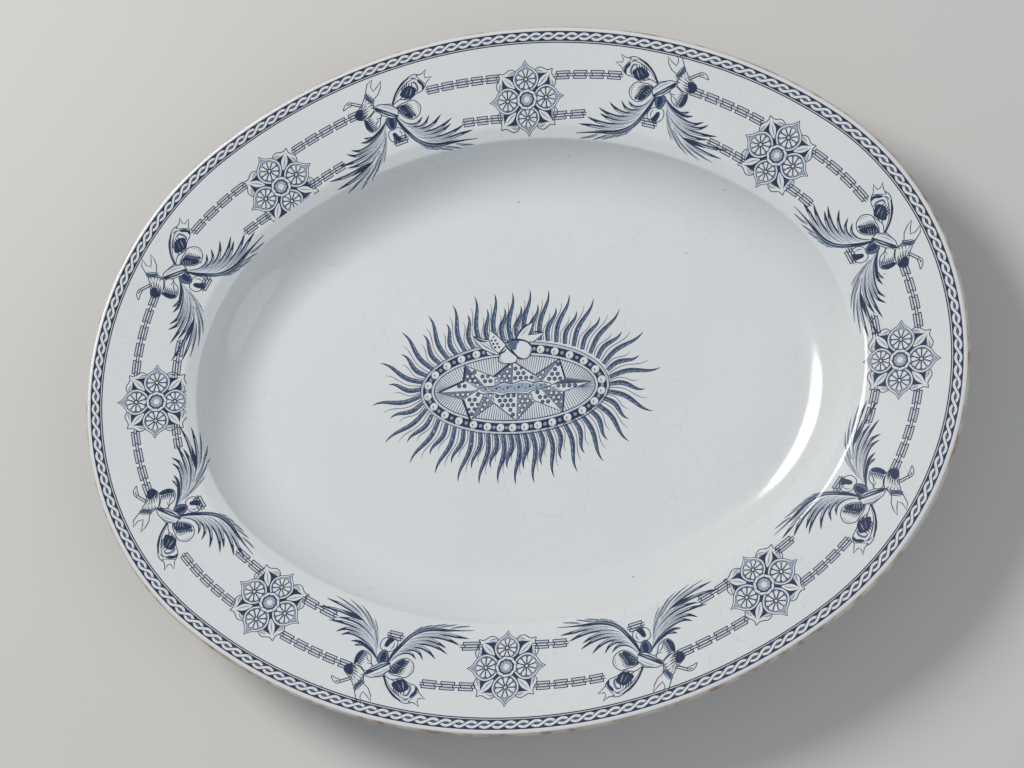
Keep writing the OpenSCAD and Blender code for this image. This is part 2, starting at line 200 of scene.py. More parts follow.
# closed lines: clay body, the coat over face and wall, the coat inside the foot
out_root, in_root = wall_line(0)[-1], base_line(0)[0]
out_toe, in_toe = np.array([foot_at, 0.0]), np.array([foot_at + FOOT_WIDE, 0.0])
skin = [GLAZE, 0.0]


def foot_line(g):
    """The foot from its outer root down, round the toe and up to its inner root."""
    a, b = out_toe + [g, 0], in_toe - [g, 0]
    a_root, b_root = wall_line(g)[-1], base_line(g)[0]
    return np.concatenate([
        [a_root, toward(a, a_root, WIPE + 0.6)], corner(a_root, a, b, TOE, 4),
        corner(a, b, b_root, TOE, 4), [toward(b, b_root, WIPE + 0.6), b_root]])


CLAY = np.concatenate([moved(FACE, GLAZE)[::-1], wall_line(GLAZE)[1:-1], foot_line(GLAZE),
                       base_line(GLAZE)[1:]])
wipe_out = [toward(out_toe, out_root, WIPE), toward(out_toe + skin, wall_line(GLAZE)[-1], WIPE)]
wipe_in = [toward(in_toe - skin, base_line(GLAZE)[0], WIPE), toward(in_toe, in_root, WIPE)]
COAT = np.concatenate([FACE[::-1], wall_line(0)[1:], wipe_out, wall_line(GLAZE)[1:][::-1],
                       moved(FACE, GLAZE)])
BASE_COAT = np.concatenate([base_line(0)[::-1], wipe_in[::-1], base_line(GLAZE)])


def face_z(u):
    return np.interp(u, FACE[LIP_STEPS:, 0], FACE[LIP_STEPS:, 1])


def up_normals(xy):
    """Normals of the face above plan points."""
    d = 0.05
    gx = (face_z(inset(xy[:, 0] + d, xy[:, 1])) - face_z(inset(xy[:, 0] - d, xy[:, 1]))) / (2 * d)
    gy = (face_z(inset(xy[:, 0], xy[:, 1] + d)) - face_z(inset(xy[:, 0], xy[:, 1] - d))) / (2 * d)
    n = np.stack([-gx, -gy, np.ones(len(xy))], -1)
    return n / np.linalg.norm(n, axis=1)[:, None]


# ---------------------------------------------------------------- meshes
SWEEP_STEP = 3.0


def add(name, verts, faces, materials, slots=None, normals=None):
    mesh = bpy.data.meshes.new(name)
    mesh.from_pydata([tuple(v) for v in np.asarray(verts) * MM], [], faces)
    for m in materials:
        mesh.materials.append(m)
    if slots is not None:
        mesh.polygons.foreach_set("material_index", np.asarray(slots, np.int32))
    mesh.polygons.foreach_set("use_smooth", [True] * len(mesh.polygons))
    mesh.update()
    if normals is not None:
        mesh.normals_split_custom_set_from_vertices([tuple(n) for n in normals])
    o = bpy.data.objects.new(name, mesh)
    bpy.context.scene.collection.objects.link(o)
    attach(o, "root")
    return o


def sweep(name, line, material, closed=False, sharp=35):
    """A section line swept round the oval. An open line runs from the middle out and back to
    the middle, where two flat caps close it."""
    ways = round_the_oval(SWEEP_STEP)
    n, m = len(ways), len(line)
    verts = np.concatenate([
        np.concatenate([on_rim(ways, u), np.full((n, 1), z)], 1) for u, z in line])
    faces = [(i * n + j, i * n + (j + 1) % n, (i + 1) % m * n + (j + 1) % n, (i + 1) % m * n + j)
             for i in range(m if closed else m - 1) for j in range(n)]
    if not closed:
        faces.append(tuple(reversed(range(n))))
        faces.append(tuple((m - 1) * n + j for j in range(n)))
    o = add(name, verts, faces, [material])
    if not closed:
        o.data.flip_normals()
    o.data.set_sharp_from_angle(angle=math.radians(sharp))
    return o


# ---------------------------------------------------------------- the pen
DARK, MID, PALE, BARE = 0, 1, 2, 3


def smooth(points, n=6, closed=False):
    """A smooth curve through points."""
    p = np.asarray(points, float)
    if closed:
        p = np.concatenate([p[-1:], p, p[:2]])
    else:
        p = np.concatenate([[2 * p[0] - p[1]], p, [2 * p[-1] - p[-2]]])
    t = np.linspace(0, 1, n, endpoint=False)[:, None]
    runs = []
    for a, b, c, d in zip(p, p[1:], p[2:], p[3:]):
        runs.append(0.5 * (2 * b + (c - a) * t + (2 * a - 5 * b + 4 * c - d) * t**2
                           + (3 * b - a - 3 * c + d) * t**3))
    if not closed:
        runs.append(p[-2:-1])
    return np.concatenate(runs)


def ellipse(cx, cy, rx, ry=None, turn=0.0, n=20):
    w = np.linspace(0, 2 * math.pi, n, endpoint=False)
    x, y = rx * np.cos(w), (rx if ry is None else ry) * np.sin(w)
    c, s = math.cos(math.radians(turn)), math.sin(math.radians(turn))
    return np.stack([cx + x * c - y * s, cy + x * s + y * c], -1)


def area(p):
    x, y = p[:, 0], p[:, 1]
    return 0.5 * float(np.sum(x * np.roll(y, -1) - np.roll(x, -1) * y))


def inside(outline, at):
    """Which points lie inside a closed outline."""
    found = np.zeros(len(at), bool)
    for (x0, y0), (x1, y1) in zip(outline, np.roll(outline, -1, 0)):
        if y0 != y1:
            crossed = (y0 > at[:, 1]) != (y1 > at[:, 1])
            found ^= crossed & (x0 + (at[:, 1] - y0) / (y1 - y0) * (x1 - x0) > at[:, 0])
    return found


class Drawing:
    """Filled shapes in the order they are laid; a later one covers an earlier one."""

    def __init__(self):
        self.shapes = []
        self.count = 0

    def fill(self, points, tone, line=0.0, line_tone=DARK):
        p = np.asarray(points, float)
        self.count += 1
        self.shapes.append((p, tone, self.count))
        if line:
            self.stroke(np.concatenate([p, p[:2]]), line, line_tone)

    def stroke(self, points, width, tone=DARK):
        """A line of one width, or of widths spread along it."""
        p = np.asarray(points, float)
        keep = np.concatenate([[True], np.linalg.norm(np.diff(p, axis=0), axis=1) > 0.01])
        p = p[keep]
        if len(p) < 2:
            return
        w = np.interp(np.linspace(0, 1, len(p)), np.linspace(0, 1, np.size(width)),
                      np.ravel(width)) if np.size(width) > 1 else np.full(len(p), width)
        d = np.gradient(p, axis=0)
        d /= np.maximum(np.linalg.norm(d, axis=1)[:, None], 1e-9)
        side = np.stack([-d[:, 1], d[:, 0]], -1) * np.maximum(w, 0.02)[:, None] / 2
        left, right = p + side, p - side
        self.count += 1
        for i in range(len(p) - 1):
            quad = np.array([left[i], right[i], right[i + 1], left[i + 1]])
            self.shapes.append((quad, tone, self.count))

    def join(self, other, scale=1.0, turn=0.0, at=(0, 0), flip=False):
        c, s = math.cos(math.radians(turn)), math.sin(math.radians(turn))
        for p, tone, order in other.shapes:
            q = p * scale * ([-1, 1] if flip else [1, 1])
            x, y = q[:, 0], q[:, 1]
            q = np.stack([x * c - y * s + at[0], x * s + y * c + at[1]], -1)
            self.shapes.append((q, tone, self.count + order))
        self.count += max([order for _, _, order in other.shapes] + [0])

    def print(self, guides=(), cell=4.0):
        """The drawing cut into triangles of one tone each: points, triangles, tones."""
        points, index = [], {}

        def at(p):
            key = (round(float(p[0]), 4), round(float(p[1]), 4))
            if key not in index:
                index[key] = len(points)
                points.append(Vector(key))
            return index[key]

        edges = set()
        for p, _, _ in self.shapes:
            ids = [at(q) for q in p]
            edges |= {(min(a, b), max(a, b)) for a, b in zip(ids, ids[1:] + ids[:1]) if a != b}
        everything = np.concatenate([p for p, _, _ in self.shapes])
        (x0, y0), (x1, y1) = everything.min(0) - 0.3, everything.max(0) + 0.3
        for x in np.linspace(x0, x1, 1 + max(1, math.ceil((x1 - x0) / cell))):
            edges.add((at((x, y0)), at((x, y1))))
        for y in np.linspace(y0, y1, 1 + max(1, math.ceil((y1 - y0) / cell))):
            edges.add((at((x0, y)), at((x1, y))))
        for line in guides:
            ids = [at(q) for q in line]
            edges |= {(min(a, b), max(a, b)) for a, b in zip(ids, ids[1:]) if a != b}
        found = geometry.delaunay_2d_cdt(points, sorted(edges), [], 0, 1e-5)
        points = np.array([tuple(v) for v in found[0]])
        tris = np.array([t for t in found[2] if len(t) == 3])
        middles = points[tris].mean(1)
        order = np.argsort(middles[:, 0])
        tris, middles = tris[order], middles[order]
        tones = np.full(len(tris), BARE)
        for p, tone, _ in sorted(self.shapes, key=lambda shape: shape[2]):
            first, last = np.searchsorted(middles[:, 0], [p[:, 0].min(), p[:, 0].max()])
            tones[first:last][inside(p, middles[first:last])] = tone
        return points, tris[tones != BARE], tones[tones != BARE]


FILM_TOP = 0.05
FILM_ROOT = 0.03


def film_solid(cut, place, lift=0.0, trim=None):
    """Closed thin solids of the printed film: place takes drawing points to plan points, and
    trim is how far inside the lip the transfer was cut off."""
    points, tris, tones = cut
    if trim:
        middles = place(points)[tris].mean(1)
        kept = inset(middles[:, 0], middles[:, 1]) < trim
        tris, tones = tris[kept], tones[kept]
    verts, faces, slots, normals = [], [], [], []
    base = 0
    for tone in (DARK, MID, PALE):
        own = tris[tones == tone]
        if not len(own):
            continue
        used, back = np.unique(own, return_inverse=True)
        own = back.reshape(own.shape)
        xy = place(points[used])
        z = face_z(inset(xy[:, 0], xy[:, 1]))
        if area(xy[own[0]]) < 0:
            own = own[:, ::-1]
        n = len(used)
        verts.append(np.column_stack([xy, z + FILM_TOP + lift]))
        verts.append(np.column_stack([xy, z - FILM_ROOT]))
        up = up_normals(xy)
        normals += [up, up]
        edges = np.concatenate([own[:, [0, 1]], own[:, [1, 2]], own[:, [2, 0]]])
        seen = set(map(tuple, edges.tolist()))
        faces += (own + base).tolist()
        faces += (own[:, ::-1] + base + n).tolist()
        rim = [(a, b) for a, b in seen if (b, a) not in seen]
        faces += [(base + b, base + a, base + n + a, base + n + b) for a, b in rim]
        slots += [tone] * (2 * len(own) + len(rim))
        base += 2 * n
    return np.concatenate(verts), faces, slots, np.concatenate(normals)


def print_piece(name, parts, materials):
    """One piece from several film solids."""
    verts, faces, slots, normals = [], [], [], []
    base = 0
    for v, f, s, n in parts:
        verts.append(v)
        normals.append(n)
        faces += [tuple(i + base for i in face) for face in f]
        slots += s
        base += len(v)
    o = add(name, np.concatenate(verts), faces, materials, slots, np.concatenate(normals))
    return o


# ---------------------------------------------------------------- materials
class Num:
    """A shader value that can be used in Python sums."""

    def __init__(self, paint, socket):
        self.paint, self.socket = paint, socket

    def _with(self, operation, a, b=None, clamp=False):
        node = self.paint.tree.nodes.new("ShaderNodeMath")
        node.operation, node.use_clamp = operation, clamp
        for slot, item in zip(node.inputs, (a, b)):
            if item is not None:
                self.paint.feed(slot, item)
        return Num(self.paint, node.outputs[0])

    def __add__(self, other):
        return self._with("ADD", self, other)

    __radd__ = __add__

    def __sub__(self, other):
        return self._with("SUBTRACT", self, other)

    def __rsub__(self, other):
        return self._with("SUBTRACT", other, self)

    def __mul__(self, other):
        return self._with("MULTIPLY", self, other)

    __rmul__ = __mul__

    def over(self, edge, soft):
        """0 below edge, 1 above it, turning over a width of soft."""
        return self._with("MULTIPLY", self - edge, 1 / soft, clamp=True)

    def under(self, edge, soft):
        return self._with("MULTIPLY", edge - self, 1 / soft, clamp=True)


class Paint:
    """A material and short ways to add nodes to it."""

    def __init__(self, name, **constants):
        self.material = bpy.data.materials.new(name)
        self.material.use_nodes = True
        self.tree = self.material.node_tree
        self.shader = self.tree.nodes["Principled BSDF"]
        for key, value in constants.items():
            self.shader.inputs[key.replace("_", " ")].default_value = value
        self.place = self.node("ShaderNodeTexCoord").outputs["Object"]

    def feed(self, slot, item):
        if isinstance(item, Num):
            self.tree.links.new(item.socket, slot)
        elif isinstance(item, bpy.types.NodeSocket):
            self.tree.links.new(item, slot)
        else:
            slot.default_value = item

    def node(self, kind, settings=(), **inputs):
        node = self.tree.nodes.new(kind)
        for key, value in dict(settings).items():
            setattr(node, key, value)
        for key, value in inputs.items():
            self.feed(node.inputs[key.replace("_", " ")], value)
        return node

    def noise(self, size, detail=3.0, rough=0.5):
        """Noise with features of about size millimetres, 0 to 1."""
        node = self.node("ShaderNodeTexNoise", Vector=self.place, Scale=1000 / size,
                         Detail=detail, Roughness=rough)
        return Num(self, node.outputs[0])

    def mix(self, share, a, b):
        node = self.node("ShaderNodeMix", {"data_type": "RGBA"})
        self.feed(node.inputs[0], share)
        self.feed(node.inputs[6], a)
        self.feed(node.inputs[7], b)
        return node.outputs[2]

    def bump(self, height, strength, distance):
        node = self.node("ShaderNodeBump", Height=height, Strength=strength,
                         Distance=distance * MM)
        self.tree.links.new(node.outputs[0], self.shader.inputs["Normal"])

    def use(self, **varying):
        for key, item in varying.items():
            self.feed(self.shader.inputs[key.replace("_", " ")], item)
        return self.material


def make_glaze(name, worn=1.0):
    paint = Paint(name, IOR=1.5)
    cloud, fine = paint.noise(60, 4), paint.noise(2.2, 3)
    colour = paint.mix(cloud, (0.68, 0.715, 0.73, 1), (0.77, 0.785, 0.785, 1))
    wander = paint.node("ShaderNodeVectorMath", {"operation": "MULTIPLY_ADD"})
    drift = paint.node("ShaderNodeTexNoise", Vector=paint.place, Scale=140.0, Detail=2.0)
    paint.feed(wander.inputs[0], drift.outputs["Color"])
    paint.feed(wander.inputs[1], (0.004, 0.004, 0.004))
    paint.feed(wander.inputs[2], paint.place)
    nets = []
    for scale, wide in ((95.0, 0.014), (38.0, 0.006)):
        net = paint.node("ShaderNodeTexVoronoi", {"feature": "DISTANCE_TO_EDGE"},
                         Vector=wander.outputs[0], Scale=scale)
        nets.append(Num(paint, net.outputs["Distance"]).under(wide, wide))
    patch = paint.noise(90, 2).over(0.47, 0.12)
    craze = (nets[0] * patch + nets[1] * 0.7) * 0.5
    colour = paint.mix(craze * (0.42 * worn), colour, (0.42, 0.42, 0.40, 1))
    spots = paint.node("ShaderNodeTexVoronoi", {"feature": "F1"}, Vector=paint.place,
                       Scale=150.0)
    pick = paint.node("ShaderNodeSeparateColor")
    paint.feed(pick.inputs[0], spots.outputs["Color"])
    rare = Num(paint, pick.outputs[0]).under(0.07, 0.01)
    speck = Num(paint, spots.outputs["Distance"]).under(0.07, 0.03) * rare
    colour = paint.mix(speck * (0.8 * worn), colour, (0.12, 0.08, 0.06, 1))
    paint.bump(paint.noise(35, 2) - craze * 0.05 - speck * 0.1 + fine * 0.012, 0.35, 0.5)
    return paint.use(Base_Color=colour, Roughness=0.09 + 0.07 * cloud)


def make_ink(name, colour, light):
    paint = Paint(name, IOR=1.5)
    grain = paint.noise(0.7, 2).over(0.38, 0.3)
    shade = paint.mix(grain, light, colour)
    return paint.use(Base_Color=shade, Roughness=0.12 + 0.05 * grain)


def make_clay():
    paint = Paint("bare_clay")
    grain = paint.noise(3, 5, 0.6)
    colour = paint.mix(grain, (0.50, 0.42, 0.32, 1), (0.70, 0.63, 0.53, 1))
    paint.bump(grain, 0.4, 0.15)
    return paint.use(Base_Color=colour, Roughness=0.75 + 0.15 * grain)


def make_edge():
    paint = Paint("worn_edge_glaze", IOR=1.45)
    wear = paint.noise(9, 4, 0.6).over(0.46, 0.2)
    colour = paint.mix(wear, (0.60, 0.56, 0.50, 1), (0.36, 0.26, 0.18, 1))
    return paint.use(Base_Color=colour, Roughness=0.25 + 0.3 * wear)


glaze_face = make_glaze("face_glaze_white")
glaze_back = make_glaze("back_glaze_white", 0.6)
clay = make_clay()
edge_glaze = make_edge()
inks = [make_ink("ink_dark", (0.007, 0.011, 0.034, 1), (0.035, 0.055, 0.12, 1)),
        make_ink("ink_middle", (0.055, 0.095, 0.18, 1), (0.13, 0.20, 0.31, 1)),
        make_ink("ink_pale", (0.26, 0.35, 0.47, 1), (0.40, 0.48, 0.58, 1))]

# ---------------------------------------------------------------- body
body = sweep("fired_body", CLAY, clay)
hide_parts("clay_body")
coat = sweep("glaze_coat", COAT, glaze_face)
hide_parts("face_glaze", "wall_glaze")
base = sweep("base_coat", BASE_COAT, glaze_back)
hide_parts("base_glaze")


EDGE_WIDE = 62               # degrees of the lip that the worn line covers
EDGE_SKIN = 0.04             # how far the worn line stands out of the glaze and sinks into it
outer, inner = (arc(LIP, LIP_R + by, 184, 180 - EDGE_WIDE, 9) for by in (EDGE_SKIN, -EDGE_SKIN))
edge_section = np.concatenate([outer, inner[::-1]])
edge = sweep("worn_edge_line", edge_section, edge_glaze, closed=True, sharp=50)
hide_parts("edge_line")


# ---------------------------------------------------------------- border
BAND = (2.7, 7.3)
LINE = (7.65, 8.15)
BAND_MID = sum(BAND) / 2
round_length = float(length_at(360, BAND_MID))
TWIST_LONG = 5.8             # aimed at; a whole number of them go round
TWISTS = round(round_length / TWIST_LONG)
pitch = round_length / TWISTS


def twist_unit():
    """One crossing of the two strands on the dark band."""
    d = Drawing()
    half = (BAND[1] - BAND[0]) / 2
    p = pitch / 2
    d.fill([(-p, -half), (p, -half), (p, half), (-p, half)], DARK)
    for side in (-1, 1):
        x = side * p
        d.fill(np.clip(ellipse(x, 0, 0.95, 0.34, 14 * side, 12), [-p, -9], [p, 9]), MID)
    x = np.linspace(-p, p, 15)
    rise = 1.22 * np.sin(math.pi * x / pitch)
    strand = np.stack([x, rise], -1)
    for flip, edge_wide in ((-1, 1.15), (1, 1.75)):
        line = strand * [1, flip]
        d.stroke(line, edge_wide, DARK)
        d.stroke(line, 1.15, BARE)
    return d


def strip(start, in_at):
    """Places a drawing on the rim: x clockwise along the line in_at inside the lip, y outwards."""
    return lambda p: on_rim(way_at(start - p[:, 0], in_at), in_at - p[:, 1])


unit = twist_unit().print(cell=3.0)
band = print_piece("border_twist", [film_solid(unit, strip(k * pitch, BAND_MID))
                                    for k in range(TWISTS)], inks)
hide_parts("border_band")

line_unit = Drawing()
line_unit.fill([(-pitch, -0.25), (pitch, -0.25), (pitch, 0.25), (-pitch, 0.25)], DARK)
line_cut = line_unit.print(cell=3.0)
line_mid = sum(LINE) / 2
line_length = float(length_at(360, line_mid))
line_count = round(line_length / (2 * pitch))
fine = print_piece("border_fine_line", [
    film_solid(line_cut, strip(k * line_length / line_count, line_mid))
    for k in range(line_count)], inks)
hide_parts("border_line")


# ---------------------------------------------------------------- rosette
def form(d, points, tone, line=0.0, n=4, line_tone=DARK):
    """A filled shape with a smooth outline."""
    d.fill(smooth(points, n, True), tone, line, line_tone)


def daisy(d, x, y, r, petals=10, turn=0.0):
    for k in range(petals):
        w = math.radians(turn + 360 * k / petals)
        out = np.array([math.cos(w), math.sin(w)])
        across = np.array([-out[1], out[0]])
        shape = [(0.16, 0.0), (0.45, 0.11), (0.75, 0.215), (0.93, 0.18), (1.0, 0.0),
                 (0.93, -0.18), (0.75, -0.215), (0.45, -0.11)]
        pts = smooth([np.array([x, y]) + r * (a * out + b * across) for a, b in shape], 3, True)
        d.fill(pts, BARE, line=0.26)
    d.fill(ellipse(x, y, 0.2 * r, n=12), DARK)
    d.fill(ellipse(x, y, 0.13 * r, n=10), BARE)


def mirror(half):
    """A closed outline from its right half, listed from the top down."""
    half = list(half)
    return half + [(-x, y) for x, y in reversed(half) if abs(x) > 1e-9]


PETAL = [(0, 18.4), (0.6, 17.2), (2.0, 15.5), (4.3, 13.5), (5.9, 11.0), (6.1, 8.6), (5.2, 6.2),
         (3.6, 4.5), (1.9, 3.6)]
SEPAL = [(0, 17.0), (0.9, 15.6), (2.2, 14.9), (4.4, 14.3), (5.5, 12.6), (5.3, 10.2), (3.0, 6.0)]


def petal_drawing():
    d = Drawing()
    for shrink, tone, line in ((1.0, BARE, 0.3), (0.84, PALE, 0.26)):
        half = [(x * shrink, 9.3 + (y - 9.3) * (shrink if y < 15 else shrink * 0.94))
                for x, y in PETAL]
        form(d, mirror(half), tone, line, n=3, line_tone=DARK if shrink == 1 else MID)
    form(d, [(0, 8.6), (4.6, 11.0), (4.8, 7.6), (2.6, 4.9), (0, 4.3), (-2.6, 4.9), (-4.8, 7.6),
             (-4.6, 11.0)], MID, n=3)
    daisy(d, 0, 9.3, 4.75, turn=90)
    for side in (-1, 1):
        d.stroke([(0.5 * side, 15.2), (1.6 * side, 14.3), (2.9 * side, 13.4)],
                 [0.1, 0.3, 0.1], MID)
    return d


def sepal_drawing():
    d = Drawing()
    form(d, mirror(SEPAL), BARE, 0.34, n=3)
    for side in (-1, 1):
        form(d, [(1.2 * side, 8), (3.4 * side, 9.4), (4.3 * side, 11.4), (3.2 * side, 12.6),
                 (2.2 * side, 11.4), (1.8 * side, 9.6)], PALE, n=3)
        d.stroke(smooth([(5.0 * side, 10.2), (4.9 * side, 12.0), (3.7 * side, 13.0),
                         (2.3 * side, 13.2)], 3), [0.15, 0.4, 0.15], MID)
    form(d, [(0, 15.4), (0.9, 14.0), (2.0, 13.0), (3.6, 11.4), (4.6, 9.2), (1.6, 4.4), (0, 3),
             (-1.6, 4.4), (-4.6, 9.2), (-3.6, 11.4), (-2.0, 13.0), (-0.9, 14.0)], DARK, n=3)
    form(d, [(0, 15.6), (0.95, 13.2), (1.45, 11.0), (0.9, 8.8), (0, 7.2), (-0.9, 8.8),
             (-1.45, 11.0), (-0.95, 13.2)], BARE, n=3)
    d.stroke([(0, 8.2), (0.1, 10.2), (0, 13.4)], [0.1, 0.34, 0.1], MID)
    return d


def rosette_drawing():
    d = Drawing()
    d.fill(ellipse(0, 0, 9.4, n=32), DARK)
    sepal, petal_one = sepal_drawing(), petal_drawing()
    for turn in (45, 135, 225, 315):
        d.join(sepal, turn=turn, scale=1.07)
    for turn, scale in ((0, 1.0), (90, 0.985), (180, 0.92), (270, 0.985)):
        d.join(petal_one, turn=turn, scale=scale)
    lobes = 9
    w = np.linspace(0, 2 * math.pi, 6 * lobes, endpoint=False)
    for r, depth, tone, line in ((4.7, 0.34, BARE, 0.34), (3.45, 0.26, DARK, 0),
                                 (2.7, 0.16, PALE, 0), (1.5, 0.1, BARE, 0)):
        s = r + depth * np.abs(np.cos(w * lobes / 2)) - depth / 2
        d.fill(np.stack([s * np.cos(w), s * np.sin(w)], -1), tone, line=line)
    for k in range(lobes):
        a = math.radians((k + 0.5) * 360 / lobes)
        ray = np.array([math.sin(a), math.cos(a)])
        d.stroke([3.4 * ray, 4.3 * ray], [0.3, 0.1], MID)
        d.stroke([1.1 * ray, 2.6 * ray], [0.1, 0.26], MID)
    d.fill(ellipse(0.3, 0.3, 0.45, n=10), BARE)
    return d


# ---------------------------------------------------------------- bow spray
def hair(d, points, wide, tone=DARK):
    """A fine smooth line; one width alone means that both ends taper off."""
    d.stroke(smooth(points, 7), [0.1, wide, 0.1] if np.size(wide) == 1 else wide, tone)


def offset(line, by):
    """A line moved sideways, to its left as it runs, by one amount or one for each point."""
    line = np.asarray(line, float)
    d = np.gradient(line, axis=0)
    d /= np.maximum(np.linalg.norm(d, axis=1)[:, None], 1e-9)
    return line + np.reshape(by, (-1, 1)) * np.stack([-d[:, 1], d[:, 0]], -1)


def barb(d, points, wide, under=1):
    """One strand of a plume: pale above, shaded and outlined underneath, dark at the tip."""
    line = smooth(points, 6)
    n = len(line)
    swell = wide * np.interp(np.linspace(0, 1, n), [0, 0.45, 0.8, 1], [0.35, 1, 0.75, 0])
    d.stroke(line, 2.3 * swell, BARE)
    d.stroke(offset(line, 0.32 * under * swell), 1.0 * swell, MID)
    d.stroke(offset(line, 0.02 * swell), 0.35 * swell, PALE)
    d.stroke(offset(line, 0.82 * under * swell), [0.12, 0.3, 0.42, 0.4, 0.12], DARK)
    d.stroke(offset(line, -0.66 * under * swell)[n // 3:], [0.06, 0.22, 0.3, 0.1], DARK)
    d.stroke(offset(line, 0.42 * under * swell)[n // 3:], [0.06, 0.24, 0.26, 0.06], DARK)
    d.stroke(line[int(n * 0.74):], np.array([0.1, 0.95, 0.85, 0.06]) * wide, DARK)


def fine_barb(d, points):
    line = smooth(points, 5)
    d.stroke(line, [0.3, 1.2, 1.3, 0.3], BARE)
    d.stroke(offset(line, 0.2), [0.08, 0.45, 0.5, 0.06], PALE)
    d.stroke(line, [0.1, 0.26, 0.36, 0.42, 0.06], DARK)
    d.stroke(offset(line, 0.55)[:-4], [0.08, 0.2, 0.24, 0.06], MID)


def shading(d, start, stop, count, tone=DARK, widths=(0.62, 0.4, 0.08)):
    """Short tapered lines from one edge towards another, as an engraver shades a fold."""
    start, stop = smooth(start, 8), smooth(stop, 8)
    for t in np.linspace(0, 1, count):
        p = np.array([np.interp(t, np.linspace(0, 1, len(start)), start[:, k]) for k in (0, 1)])
        q = np.array([np.interp(t, np.linspace(0, 1, len(stop)), stop[:, k]) for k in (0, 1)])
        d.stroke(np.linspace(p, q, 5), list(widths), tone)


